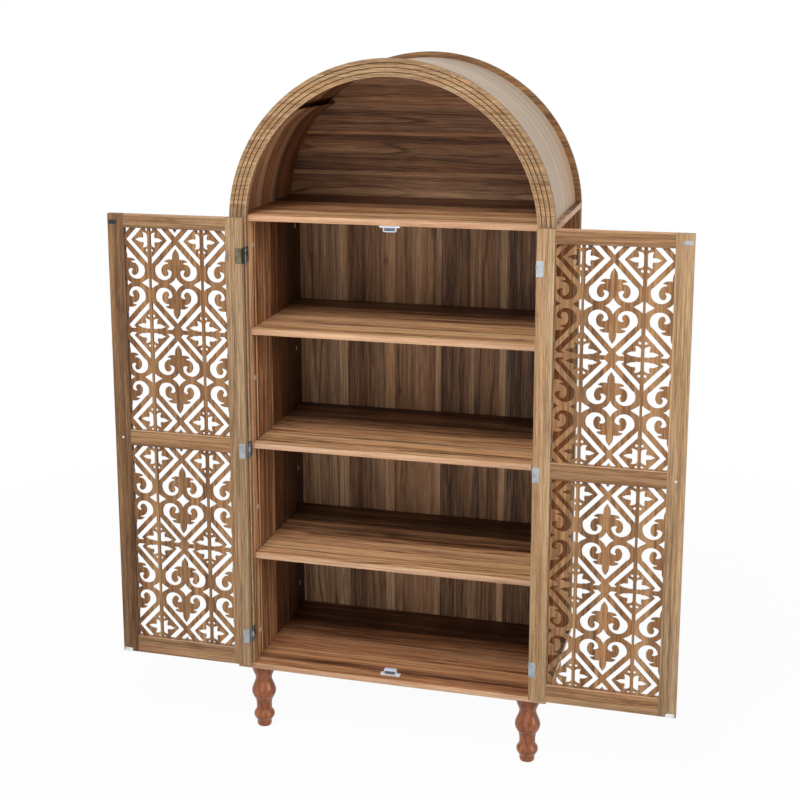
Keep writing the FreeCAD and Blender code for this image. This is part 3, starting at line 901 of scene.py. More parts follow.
class Workshop:
    """Every finish, built once and handed to the pieces by name."""

    def __init__(self) -> None:
        """Build the finishes and the tool that sets small shapes on marks."""
        self.repeat = Repeat()
        stile = Veneer(
            "stile_veneer", "frame_wood", Grain.UPRIGHT, TAN, strip=26.0, strip_share=0.2, streaks=130.0,
            band_axis=(1.0, 1.0, 0.0),
        )
        door_stile = replace(stile, name="door_stile_veneer", slot="door_wood", strip=22.0, shift=1.7)
        self.stile, self.door_stile = stile.build(), door_stile.build()
        # A darker copy for the left door's free stile: painted shade where the light falls off to the left.
        self.door_dark = replace(
            door_stile, name="door_far_stile_veneer", tones=TAN_DEEP, strip=20.0, shift=6.1
        ).build()
        self.door_rail = replace(
            door_stile, name="door_rail_veneer", grain=Grain.ACROSS, tones=RAIL_TONES, strip=19.0,
            strip_share=0.25, lines=0.75, shift=2.9, band_axis=(0.0, 1.0, 1.0),
        ).build()
        foot = Veneer(
            "arch_foot_veneer", "frame_wood", Grain.ACROSS, TAN, strip=24.0, strip_share=0.14, lines=0.75,
            streaks=190.0, contrast=0.85, shift=2.31, stretch=0.05, shine=0.12, band_axis=(0.0, 0.0, 1.0),
        )
        self.foot = foot.build()
        self.arch = replace(foot, name="arch_veneer", strip=30.0, strip_share=0.12, shift=0.31).build()
        self.rear = replace(
            foot, name="rear_arch_veneer", tones=TAN_DEEP, streaks=120.0, contrast=1.0, lines=0.5, shift=4.3
        ).build()
        # The grooves' dark colour is painted shade for their depth.
        stain = Veneer("groove_stain", "frame_wood", Grain.UPRIGHT, GROOVE_SHADE_TONES, strip_share=0.1)
        # The hood sheet's inner faces get this dark copy as painted shade.
        inside = replace(stain, name="hood_inside", slot="hood_ply", grain=Grain.SWEEP, tones=BURNT_AND_SHADE_TONES)
        self.stain, self.inside = stain.build(), inside.build()
        self.fret = Veneer(
            "fretwork_veneer", "fretwork_wood", Grain.UPRIGHT, FRET_TONES, strip=40.0, strip_share=0.3,
            streaks=130.0, roughness=0.6, band_axis=(1.0, 0.0, 0.0),
        ).build()
        # Upward cut edges: painted light from above, lighter than the burnt cut.
        lit = Veneer(
            "fretwork_upper_edge", "fretwork_wood", Grain.UPRIGHT, LIT_TONES, strip_share=0.1, roughness=0.7
        )
        self.lit = lit.build()
        self.burnt = replace(lit, name="fretwork_cut_edge", tones=BURNT_AND_SHADE_TONES, shine=0.1).build()
        edge = Veneer(
            "edge_banding", "panel_wood", Grain.ACROSS, EDGE_TONES, strip=40.0, strip_share=0.1, lines=0.1
        )
        # The rails' upward faces: lighter edge banding plus painted light from above.
        self.edge, self.rim = edge.build(), replace(edge, name="rail_upper_edge", slot="door_wood").build()
        board = Veneer(
            "shelf_veneer", "panel_wood", Grain.ACROSS, SHELF_TONES, shift=0.9, strip_share=0.66, lines=0.8,
            contrast=1.3, bands=SHELF_STRIPS_AND_SHADE,
        )
        self.board = board.build()
        self.low = replace(board, name="bottom_veneer", tones=LOW_TONES, shift=4.9).build()
        self.side = Veneer(
            "side_veneer", "panel_wood", Grain.UPRIGHT, SIDE_TONES, shift=3.3, strip_share=0.6,
            bands=SIDE_STRIPS_AND_SHADE,
        ).build()
        # Outer faces: red-brown veneer, partly painted shade.
        self.outside = Veneer(
            "outer_side_veneer", "panel_wood", Grain.UPRIGHT, OUTER_AND_SHADE_TONES, shift=7.3, strip=50.0,
            roughness=0.6, shine=0.0,
        ).build()
        self.liner = Veneer(
            "liner_veneer", "panel_wood", Grain.SWEEP, BROWN, strip=52.0, strip_share=0.4, shift=1.1
        ).build()
        self.back = Veneer(
            "back_veneer", "back_board", Grain.UPRIGHT, BACK_TONES, strip_share=0.72, lines=0.75,
            contrast=0.75, shift=5.2, roughness=0.6, knots=BACK_KNOTS, bands=BACK_BANDS,
            band_axis=(1.0, 0.0, 0.0),
        ).build()
        self.niche = Veneer(
            "niche_veneer", "back_board", Grain.ACROSS, NICHE_TONES, strip_share=0.7, lines=0.8, contrast=0.8,
            shift=4.4, roughness=0.6, sway=0.03, bands=NICHE_BANDS, band_axis=(0.0, 0.0, 1.0),
        ).build()
        self.skin = BentSheet().build()
        self.leg = TurnedWood().build()
        self.steel = Metal().build()
        self.dull = Metal("dull_steel", "steel", srgb(108, 112, 118), srgb(72, 74, 80), 0.42, 0.9).build()
        # Dark steel for the left door's upper strike: painted dark reflection.
        self.black = Metal("blackened_steel", "steel", srgb(52, 60, 68), srgb(32, 38, 44), 0.4, 0.7).build()
        zinc, worn_zinc = srgb(226, 228, 226), srgb(190, 190, 184)
        self.bright = Metal("bright_zinc", "steel", zinc, worn_zinc, 0.4, 0.55).build()
        # Darker olive steel: painted dark reflection of the wood and interior, on the upper left hinge.
        self.aged = Metal("aged_steel", "steel", srgb(112, 106, 86), srgb(74, 70, 54), 0.4, 0.9).build()
        ferrite, worn_ferrite = srgb(92, 100, 118), srgb(70, 76, 90)
        self.magnet = Metal("magnet_ferrite", "magnet", ferrite, worn_ferrite, 0.55, 0.3).build()
        self.plastic = Plastic().build()


@dataclass
class Carcass:
    """The case: boards, shelves, back, rear stiles and their fittings."""

    shop: Workshop
    shelves: tuple[str, ...] = ("shelf_lower", "shelf_middle", "shelf_upper")
    arris: float = 0.9
    cam_radius: float = 6.5
    cam_proud: float = 0.3
    pin_proud: float = 0.25
    pin_back: float = 1.5
    cam_heights: tuple[float, ...] = (262.0, 600.0, 942.0, 1280.0)
    cam_depths: tuple[float, ...] = (50.0, 384.0)
    pin_radius: float = 2.6
    pin_steps: tuple[float, ...] = (-64.0, -32.0, 32.0, 64.0)

    def board(self, node: str, faces: Material | None = None, edges: Material | None = None) -> Piece:
        """A board with soft arrises in place of a CAD node.

        Args:
            node: The node.
            faces, edges: Finishes of the broad faces and of the others, where they differ.

        Returns:
            The board.
        """
        low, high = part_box(node)
        bm = bmesh.new()
        add_box(bm, low, high)
        bevel_sharp(bm, self.arris * MM)
        piece = shaped(node + "_board", bm)
        return painted(piece, (faces, edges), lambda face: abs(face.normal.z) < LEVEL) if edges else piece

    def build(self) -> None:
        """Build and dress the case."""
        shop = self.shop
        boards = dict.fromkeys(("bottom_panel", *self.shelves, "top_panel"), shop.board)
        boards["bottom_panel"] = shop.low
        for node, finish in boards.items():
            dressed(self.board(node, finish, shop.edge), "case", finish, node)
        for side in Side:
            node = "rear_stile_" + side.label
            dressed(self.board(node), "case", shop.stile, node)
            node = "side_panel_" + side.label
            # Outward faces take the darker outer veneer, partly painted shade.
            finishes = (shop.side, shop.outside)
            panel = painted(self.board(node), finishes, lambda face: face.normal.x * side.value > LEVEL)
            dressed(panel, "case", shop.side, node)
        dress_node("back_panel", shop.back)
        dress_node("shelf_clips", shop.steel)
        self.fittings()

    def fittings(self) -> None:
        """Cam locks flush in the sides and spare holes for the shelf supports."""
        cams, holes = [], []
        front = cad_front()
        for side in Side:
            low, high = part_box("side_panel_" + side.label)
            face = low.x if side is Side.RIGHT else high.x
            facing = Vector((-side.value, 0, 0))
            for depth in self.cam_depths:
                for height in self.cam_heights:
                    cams.append((Vector((face, front + depth * MM, height * MM)), facing))
                for node in self.shelves:
                    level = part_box(node)[0].z
                    for step in self.pin_steps:
                        place = Vector((face, front + (depth + self.pin_back) * MM, level + step * MM))
                        holes.append((place, facing))
        shop = self.shop
        head = cross_head("cam_pattern", self.cam_radius * MM, self.cam_proud * MM)
        dressed(shop.repeat.lay("cam_locks", cams, head, shop.bright, 2.0, 5), "case", shop.bright)
        ring = sleeve("pin_sleeve_pattern", self.pin_radius * MM, self.pin_proud * MM)
        dressed(shop.repeat.lay("shelf_pin_sleeves", holes, ring, shop.dull), "case", shop.dull)


def cad_front() -> float:
    """Y of the front plane of the case."""
    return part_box("front_stile_right")[0].y


def cross_head(name: str, radius: float, proud: float) -> Mesh:
    """A screw or cam head with a cross recess, its rim a little proud of Z = 0.

    Args:
        name: Name of the mesh.
        radius: Radius of the head in metres.
        proud: How far its top stands above the surface.

    Returns:
        A closed mesh.
    """
    arm, width = radius * 0.58, radius * 0.13
    cross = [
        (arm, -width), (arm, width), (width, width), (width, arm), (-width, arm), (-width, width),
        (-arm, width), (-arm, -width), (-width, -width), (-width, -arm), (width, -arm), (width, -width),
    ]
    plate = filled(name, [circle(radius, 28), cross], proud * 2, proud * 0.4)
    bm = bmesh.new()
    bm.from_mesh(plate)
    floor = [(0.0, -proud), (radius * 0.9, -proud), (radius * 0.9, -proud * 0.4), (0.0, -proud * 0.4)]
    lathe(bm, floor, ORIGIN, UP, 28)
    bm.to_mesh(plate)
    bm.free()
    return plate


def sleeve(name: str, radius: float, proud: float) -> Mesh:
    """The metal-lined mouth of a peg hole: a thin rim round a sunk floor."""
    bm = bmesh.new()
    shares = (
        (0.0, -1.0), (1.0, -1.0), (1.0, 0.8), (0.94, 1.0), (0.72, 1.0), (0.66, 0.6), (0.66, -0.5), (0.0, -0.5)
    )
    lathe(bm, [(radius * r, proud * h) for r, h in shares], ORIGIN, UP, 20)
    return mesh_of(name, bm)


@dataclass
class Arch:
    """The hood: grooved front ring, rear ring, bent sheets and the niche's back."""

    shop: Workshop
    centre_height: float = 1340.0
    inner: float = 357.5
    width: float = 42.5
    thickness: float = 18.0
    groove_pitch: float = 10.625
    groove_width: float = 2.5
    groove_depth: float = 2.2
    arris: float = 1.4
    stile_joint: float = 1382.0
    foot_joint: float = 1503.0
    joint_gap: float = 0.25
    cap_arris: float = 0.4
    springing_rise: float = 20.0
    liner_gap: float = 0.1
    skin_outer: float = 386.0
    sheet: float = 2.0
    facets: int = 144
    seam_angle: float = 133.0
    seam_front: float = 8.0
    seam_rear: float = 11.0
    curl: float = 15.0
    curl_angle: float = 12.0

    def section(self, grooves: bool) -> list[tuple[float, float, int]]:
        """The ring's section, plain or grooved.

        Args:
            grooves: Whether its face is grooved.

        Returns:
            Distance from the inner edge and depth, in mm, and the finish of the face that ends there.
        """
        r, w, t = self.arris, self.width, self.thickness
        # The sunk groove walls take the painted groove shade; the inner front arris takes the lighter edge
        # tone.
        plain, sunk, pale = range(3)
        points = [(0.0, t - r, plain), (0.0, r, plain), (0.3 * r, 0.3 * r, pale), (r, 0.0, pale)]
        for i in range(3 if grooves else 0):
            middle, half, floor = self.groove_pitch * (i + 1), self.groove_width / 2, self.groove_depth
            points += [
                (middle - half, 0.0, plain), (middle - 0.35 * half, floor * 0.85, sunk),
                (middle, floor, sunk), (middle + 0.35 * half, floor * 0.85, sunk), (middle + half, 0.0, sunk),
            ]
        points += [
            (x, y, plain) for x, y in (
                (w - r, 0.0), (w - 0.3 * r, 0.3 * r), (w, r), (w, t - r), (w - 0.3 * r, t - 0.3 * r),
                (w - r, t), (r, t), (0.3 * r, t - 0.3 * r),
            )
        ]
        return points

    def ring(self, front: float, floor: float, grooves: bool) -> Shape:
        """The whole ring from foot to foot, closed.

        Args:
            front: Y of its front face, in metres.
            floor: Height where it starts, in metres.
            grooves: Whether its face is grooved.

        Returns:
            The shape.
        """
        centre = self.centre_height * MM
        stations = [(Vector((1, 0, 0)), floor - centre)]
        for i in range(self.facets + 1):
            turn = math.pi * i / self.facets
            stations.append((Vector((math.cos(turn), 0, math.sin(turn))), 0.0))
        stations.append((Vector((-1, 0, 0)), floor - centre))
        bm = bmesh.new()
        section = self.section(grooves)
        rings = []
        for outward, drop in stations:
            base = Vector((0, front, centre + drop))
            rings.append([
                bm.verts.new(base + outward * (self.inner + w) * MM + Vector((0, d * MM, 0)))
                for w, d, _ in section
            ])
        for low, high in zip(rings, rings[1:]):
            for i, (_, _, finish) in enumerate(section):
                face = bm.faces.new((low[i - 1], low[i], high[i], high[i - 1]))
                face.material_index = finish if grooves else 0
        bm.faces.new(rings[0])
        bm.faces.new(rings[-1])
        bmesh.ops.recalc_face_normals(bm, faces=bm.faces)
        return bm

    def cut(self, bm: Shape, low: float | None, high: float | None, side: int = 0) -> None:
        """Keep what lies between two heights, and on one side of the middle where one is named.

        Args:
            bm: The shape.
            low, high: Heights in mm, or None.
            side: -1 or 1 for one side, 0 for both.
        """
        planes = []
        if low is not None:
            planes.append((UP * (low * MM + self.joint_gap * MM / 2), -UP))
        if high is not None:
            planes.append((UP * (high * MM - self.joint_gap * MM / 2), UP))
        if side:
            planes.append((ORIGIN, Vector((-side, 0, 0))))
        for place, normal in planes:
            geom = bm.verts[:] + bm.edges[:] + bm.faces[:]
            done = bmesh.ops.bisect_plane(
                bm, geom=geom, dist=SLIVER, plane_co=place, plane_no=normal, clear_outer=True
            )
            edges = [e for e in done["geom_cut"] if isinstance(e, bmesh.types.BMEdge)]
            bmesh.ops.holes_fill(bm, edges=edges, sides=0)
        bmesh.ops.recalc_face_normals(bm, faces=bm.faces)
        caps = [e for e in sharp_edges(bm, 70) if any(len(f.verts) > CAP_SIDES for f in e.link_faces)]
        width = self.cap_arris * MM
        bmesh.ops.bevel(bm, geom=caps, offset=width, segments=1, affect="EDGES", clamp_overlap=True)

    def bent(
        self, name: str, outer: float, start: float, end: float, depths: tuple[float, float],
        curl: bool = False,
    ) -> Piece:
        """A bent sheet over the niche, with a map that follows the bend.

        Args:
            name: Name of the piece.
            outer: Outer radius in mm.
            start, end: Angles of its edges at the front, in degrees above the right springing.
            depths: Y of its front and rear edges, in metres.
            curl: Whether its edge at the seam sags inwards.

        Returns:
            The sheet.
        """
        centre = self.centre_height * MM
        lowest = math.degrees(math.asin(self.springing_rise / outer))
        steps, rows = self.facets, 10
        slant = math.degrees((self.seam_front - self.seam_rear) / 2 / outer)
        bm = bmesh.new()
        uv = bm.loops.layers.uv.new("Sweep")
        grid = {}
        for layer, radius in enumerate((outer, outer - self.sheet)):
            for j in range(rows + 1):
                share = j / rows
                y = depths[0] + (depths[1] - depths[0]) * share
                first = start if start < 10 else start - slant * share
                last = end if end > 170 else end + slant * share
                for i in range(steps + 1):
                    angle = first + (last - first) * i / steps
                    near = max(0.0, 1.0 - (angle - first) / self.curl_angle) if curl else 0.0
                    r = (radius - self.curl * near ** 1.5 * (0.55 + 0.45 * share)) * MM
                    turn = math.radians(min(max(angle, lowest), 180.0 - lowest))
                    vert = bm.verts.new((r * math.cos(turn), y, centre + r * math.sin(turn)))
                    grid[layer, j, i] = (vert, (math.radians(angle) * outer * MM, y - depths[0]))

        def quad(*keys: tuple[int, int, int]) -> None:
            """A face with its place on the map."""
            face = bm.faces.new([grid[k][0] for k in keys])
            for loop, key in zip(face.loops, keys):
                loop[uv].uv = grid[key][1]

        for j in range(rows):
            for i in range(steps):
                quad((0, j, i), (0, j, i + 1), (0, j + 1, i + 1), (0, j + 1, i))
                quad((1, j, i), (1, j + 1, i), (1, j + 1, i + 1), (1, j, i + 1))
            quad((0, j, 0), (0, j + 1, 0), (1, j + 1, 0), (1, j, 0))
            quad((0, j, steps), (1, j, steps), (1, j + 1, steps), (0, j + 1, steps))
        for i in range(steps):
            quad((0, 0, i), (1, 0, i), (1, 0, i + 1), (0, 0, i + 1))
            quad((0, rows, i), (0, rows, i + 1), (1, rows, i + 1), (1, rows, i))
        bmesh.ops.recalc_face_normals(bm, faces=bm.faces)
        return shaped(name, bm)

    def build(self) -> None:
        """Build and dress the hood."""
        shop = self.shop
        floor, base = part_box("front_stile_right")[0].z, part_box("rear_arch_feet")[0].z / MM
        front, rear = cad_front(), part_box("rear_arch_crown")[0].y
        stile, foot = self.stile_joint, self.foot_joint
        pieces = [("front_stile_" + side.label, shop.stile, (None, stile, side.value)) for side in Side] + [
            ("front_arch_feet", shop.foot, (stile, foot)), ("front_arch_crown", shop.arch, (foot, None)),
            ("rear_arch_feet", shop.rear, (base, foot)), ("rear_arch_crown", shop.rear, (foot, None)),
        ]
        for node, wood, limits in pieces:
            grooves = node.startswith("front")
            bm = self.ring(front if grooves else rear, floor, grooves)
            self.cut(bm, *limits)
            piece = shaped(node + ("_moulding" if grooves else "_board"), bm)
            # The grooved pieces take wood, painted shade in the grooves, and the edge tone.
            for finish in (wood, shop.stain, shop.edge) if grooves else (wood,):
                piece.data.materials.append(finish)
            dressed(piece, "case", wood, node)
        low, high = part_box("hood_skin")
        depths = (low.y, high.y)
        skin = self.bent("hood_outer_sheet", self.skin_outer, 0.0, 180.0, depths)
        centre = UP * self.centre_height * MM

        def inward(face: bpy.types.MeshPolygon) -> bool:
            """Whether a face of the skin looks into the niche or down at its ends, where it takes painted
            shade.
            """
            outward = face.center - Vector((0, face.center.y, 0)) - centre
            return face.normal.dot(outward) < -0.1 * outward.length

        # Faces that look into the niche or down take the painted shade.
        dressed(painted(skin, (shop.skin, shop.inside), inward), "case", shop.skin, "hood_skin")
        inner = self.skin_outer - self.sheet
        half = math.degrees(self.seam_front / 2 / inner)
        ends = {"right": (0.0, self.seam_angle - half), "left": (self.seam_angle + half, 180.0)}
        for label, (start, end) in ends.items():
            name = "hood_inner_sheet_" + label
            liner = self.bent(name, inner - self.liner_gap, start, end, depths, label == "left")
            dressed(liner, "case", shop.liner, "hood_liner_" + label)
        dress_node("arch_back_panel", shop.niche)


@dataclass
class Legs:
    """Four turned legs: a flared top, a bulb with its bead, a shaft and a round foot."""

    shop: Workshop
    across: float = 349.0
    inset: float = 31.55
    sides: int = 56
    smooth: float = 32.0
    profile: tuple[Point2, ...] = (
        (0.0, 0.0), (17.4, 0.0), (18.4, 1.4), (19.2, 8.0), (19.3, 14.0), (19.6, 15.6), (21.6, 18.4),
        (24.8, 22.6), (26.8, 27.6), (27.2, 31.2), (26.2, 35.6), (23.8, 39.8), (21.0, 43.2), (20.1, 45.4),
        (19.9, 50.0), (20.1, 60.0), (20.3, 66.4), (21.0, 67.2), (21.3, 68.2), (20.9, 69.2), (20.9, 69.8),
        (21.6, 70.5), (21.8, 71.6), (21.4, 72.6), (22.8, 74.8), (25.4, 79.0), (27.8, 83.4), (29.9, 88.0),
        (31.2, 92.6), (31.6, 96.6), (31.0, 97.4), (31.0, 98.2), (31.5, 99.0), (30.9, 103.4), (29.2, 108.6),
        (27.0, 113.8), (24.6, 119.4), (22.8, 124.4), (21.6, 129.2), (21.2, 133.4), (21.8, 137.6),
        (23.2, 141.8), (25.0, 146.0), (26.8, 150.2), (28.4, 155.0), (29.6, 160.4), (30.6, 166.0),
        (31.3, 171.6), (31.5, 175.6), (30.9, 176.9), (0.0, 176.9),
    )

    def build(self) -> None:
        """Build and dress the legs."""
        low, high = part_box("turned_legs")
        bm = bmesh.new()
        profile = [(r * MM, z * MM) for r, z in self.profile]
        for x in (-self.across, self.across):
            for y in (low.y + self.inset * MM, high.y - self.inset * MM):
                lathe(bm, profile, Vector((x * MM, y, 0.0)), UP, self.sides)
        dressed(shaped("legs_turned", bm, self.smooth), "case", self.shop.leg, "turned_legs")


def mirrored(half: list[Point2], across: int, up: int, first: int = 1) -> list[Point2]:
    """An outline made of a half and its mirror image.

    Args:
        half: The half.
        across, up: -1 where X or Y changes its sign, else 1.
        first: Points at the start of the half that the two share.

    Returns:
        The whole outline.
    """
    return half + [(across * x, up * y) for x, y in reversed(half[first:-1])]


@dataclass
class Fretwork:
    """The pierced pattern of one window, drawn from the middle of the window, in mm."""

    window: Point2 = (269.5, 522.25)
    rim: float = 7.5
    thickness: float = 5.5
    arris: float = 0.5
    cell: Point2 = (69.61, 109.15)
    row: float = 121.75
    band: float = 5.04
    curl: tuple[Point2, ...] = (
        (-10.0, 30.2), (-12.7, 33.8), (-17.3, 36.2), (-22.7, 36.5), (-24.2, 34.7), (-22.7, 31.1),
        (-20.4, 27.5), (-22.7, 21.1), (-27.3, 18.9), (-32.7, 20.5), (-36.4, 25.6), (-38.2, 32.0),
        (-37.3, 40.2), (-33.6, 46.5), (-28.2, 50.2), (-20.0, 51.1), (-19.6, 53.8), (-22.7, 55.1),
        (-30.0, 56.5), (-26.4, 60.2), (-19.1, 62.4), (-8.2, 62.4), (-8.7, 69.3), (-6.7, 78.4),
    )

    def heart(self) -> list[Point2]:
        """The opening round a scrolled spike, pointing up from the star's centre."""
        half = [(0.0, 100.4), (-49.0, 47.6)]
        centre, radius = (-33.0, 33.0), 23.7
        for turn in range(150, 345, 15):
            angle = math.radians(turn)
            half.append((centre[0] + radius * math.cos(angle), centre[1] + radius * math.sin(angle)))
        half += list(self.curl)
        half.append((0.0, 88.4))
        half = [half[0]] + softened(half[1:-1]) + [half[-1]]
        return mirrored(half, -1, 1)

    def star(self) -> list[Point2]:
        """A four-pointed star with hollow sides."""
        quarter = []
        for i in range(8):
            angle = math.radians(248.4 - 46.8 * i / 7)
            quarter.append((33.0 + 35.5 * math.cos(angle), 33.0 + 35.5 * math.sin(angle)))
        quarter[0], quarter[-1] = (quarter[0][0], 0.0), (0.0, quarter[-1][1])
        return mirrored(mirrored(quarter, -1, 1, 0), 1, -1)

    def wedge(self) -> list[Point2]:
        """The hollow triangle between a bar and two scrolls."""
        return mirrored([(66.75, 14.2), (61.5, 9.8), (57.0, 6.8), (51.0, 3.6), (45.5, 0.0)], 1, -1, 0)

    def slot(self) -> list[Point2]:
        """The bent slot that edges a diamond."""
        return [(62.0, 0.0), (4.5, 62.0), (4.5, 44.75), (47.0, 0.0), (4.5, -44.75), (4.5, -62.0)]

    def tulip(self) -> list[Point2]:
        """The flower beside a bar."""
        half = [
            (3.9, 0.0), (3.9, 12.0), (5.4, 15.4), (8.4, 17.7), (12.6, 19.0), (19.5, 19.2), (17.2, 16.2),
            (16.0, 12.4), (15.8, 8.6), (16.8, 5.6), (20.6, 6.2), (26.0, 5.6), (31.0, 3.4), (38.0, 0.0),
        ]
        return mirrored(half, 1, -1)

    def dot(self, up: int) -> list[Point2]:
        """A small drilled dot beside a bar, flat on the bar's side."""
        points = [(3.9, -3.4), (3.9, 2.0), (6.0, 4.0), (8.8, 3.4), (10.6, 0.6), (9.6, -2.2), (6.6, -3.8)]
        return [(x, up * (y + 26.0)) for x, y in points]

    def clipped(self, shape: list[Point2], low: float, high: float) -> list[Point2]:
        """A hole cut off at the window's sides and at two heights.

        Args:
            shape: Its outline.
            low, high: Heights where it is cut off.

        Returns:
            The outline that is left, empty if nothing is.
        """
        side = self.window[0] / 2
        for axis, limit, sign in ((0, -side, 1), (0, side, -1), (1, low, 1), (1, high, -1)):
            kept = []
            for i, here in enumerate(shape):
                before = shape[i - 1]
                inside, was = sign * (here[axis] - limit) >= 0, sign * (before[axis] - limit) >= 0
                if inside != was:
                    share = (limit - before[axis]) / (here[axis] - before[axis])
                    kept.append(tuple(b + (h - b) * share for b, h in zip(before, here)))
                if inside:
                    kept.append(here)
            shape = [p for i, p in enumerate(kept) if math.dist(p, kept[i - 1]) > 0.02]
            if len(shape) < 3:
                return []
        area = sum(a[0] * b[1] - b[0] * a[1] for a, b in zip(shape, shape[1:] + shape[:1])) / 2
        return shape if abs(area) > 4.0 else []

    def holes(self) -> list[list[Point2]]:
        """Every hole of the window."""
        across, up = self.cell
        shapes = []
        for column in (-2 * across, 0.0, 2 * across):
            shapes.append((column, self.row, self.star()))
            for sign in (-1, 1):
                shapes.append((column, self.row, [(x, sign * y) for x, y in self.heart()]))
                shapes.append((column, self.row, [(sign * x, y) for x, y in self.wedge()]))
            shapes.append((column, self.row + 2 * up, [(x, -y) for x, y in self.heart()]))
        for column in (-across, across):
            for crossing in (self.row - up, self.row + up):
                for sign in (-1, 1):
                    for shape in (self.slot(), self.tulip(), self.dot(1), self.dot(-1)):
                        shapes.append((column, crossing, [(sign * x, y) for x, y in shape]))
        found = []
        for x0, y0, shape in shapes:
            moved = self.clipped([(x + x0, y + y0) for x, y in shape], self.band, self.window[1] / 2)
            if moved:
                found += [moved, [(x, -y) for x, y in moved]]
        return found

    def sheet(self) -> Mesh:
        """The pierced sheet, standing in the XZ plane about the window's middle."""
        wide, tall = self.window[0] / 2 + self.rim, self.window[1] / 2 + self.rim
        border = [(-wide, -tall), (wide, -tall), (wide, tall), (-wide, tall)]
        outlines = [[(x * MM, y * MM) for x, y in o] for o in [border] + self.holes()]
        return filled("fretwork_pattern", outlines, self.thickness * MM, self.arris * MM)


def softened(points: list[Point2]) -> list[Point2]:
    """Points of an outline with its blunt corners cut once and its sharp ones kept.

    Args:
        points: The outline.

    Returns:
        A smoother outline with the same ends.
    """
    done = [points[0]]
    for before, here, after in zip(points, points[1:], points[2:]):
        a = math.atan2(here[1] - before[1], here[0] - before[0])
        b = math.atan2(after[1] - here[1], after[0] - here[0])
        bend = abs((b - a + math.pi) % (2 * math.pi) - math.pi)
        if math.radians(8) < bend < math.radians(62):
            done.append(tuple(h + (p - h) * 0.25 for h, p in zip(here, before)))
            done.append(tuple(h + (p - h) * 0.25 for h, p in zip(here, after)))
        else:
            done.append(here)
    return done + [points[-1]]


@dataclass
class Hinge:
    """One butt hinge: sizes shared by its two leaves."""

    length: float = 38.0
    leaf: float = 1.0
    knuckle_radius: float = 3.0
    pin_radius: float = 1.4
    pin_into: float = 0.4
    gap: float = 0.3
    arris: float = 0.18
    screw_radius: float = 3.1
    screw_step: float = 11.0
    frame_screw_in: float = 9.5
    door_screw_in: float = 8.5
    screw_sunk: float = 0.24

    def spans(self, middle: float) -> list[Point2]:
        """Heights of the three knuckles, in metres."""
        pitch, trim = self.length * MM / 3, self.gap * MM / 2
        low = middle - self.length * MM / 2
        return [
            (low, low + pitch - trim),
            (low + pitch + trim, low + 2 * pitch - trim),
            (low + 2 * pitch + trim, low + 3 * pitch),
        ]

    def knuckle(self, bm: Shape, axis: Vector, span: Point2) -> None:
        """A rolled knuckle with softened ends."""
        r, soft = self.knuckle_radius * MM, 0.3 * MM
        low, high = span
        tall = high - low
        profile = [(0.0, 0.0), (r - soft, 0.0), (r, soft), (r, tall - soft), (r - soft, tall), (0.0, tall)]
        lathe(bm, profile, Vector((axis.x, axis.y, low)), UP, 24)


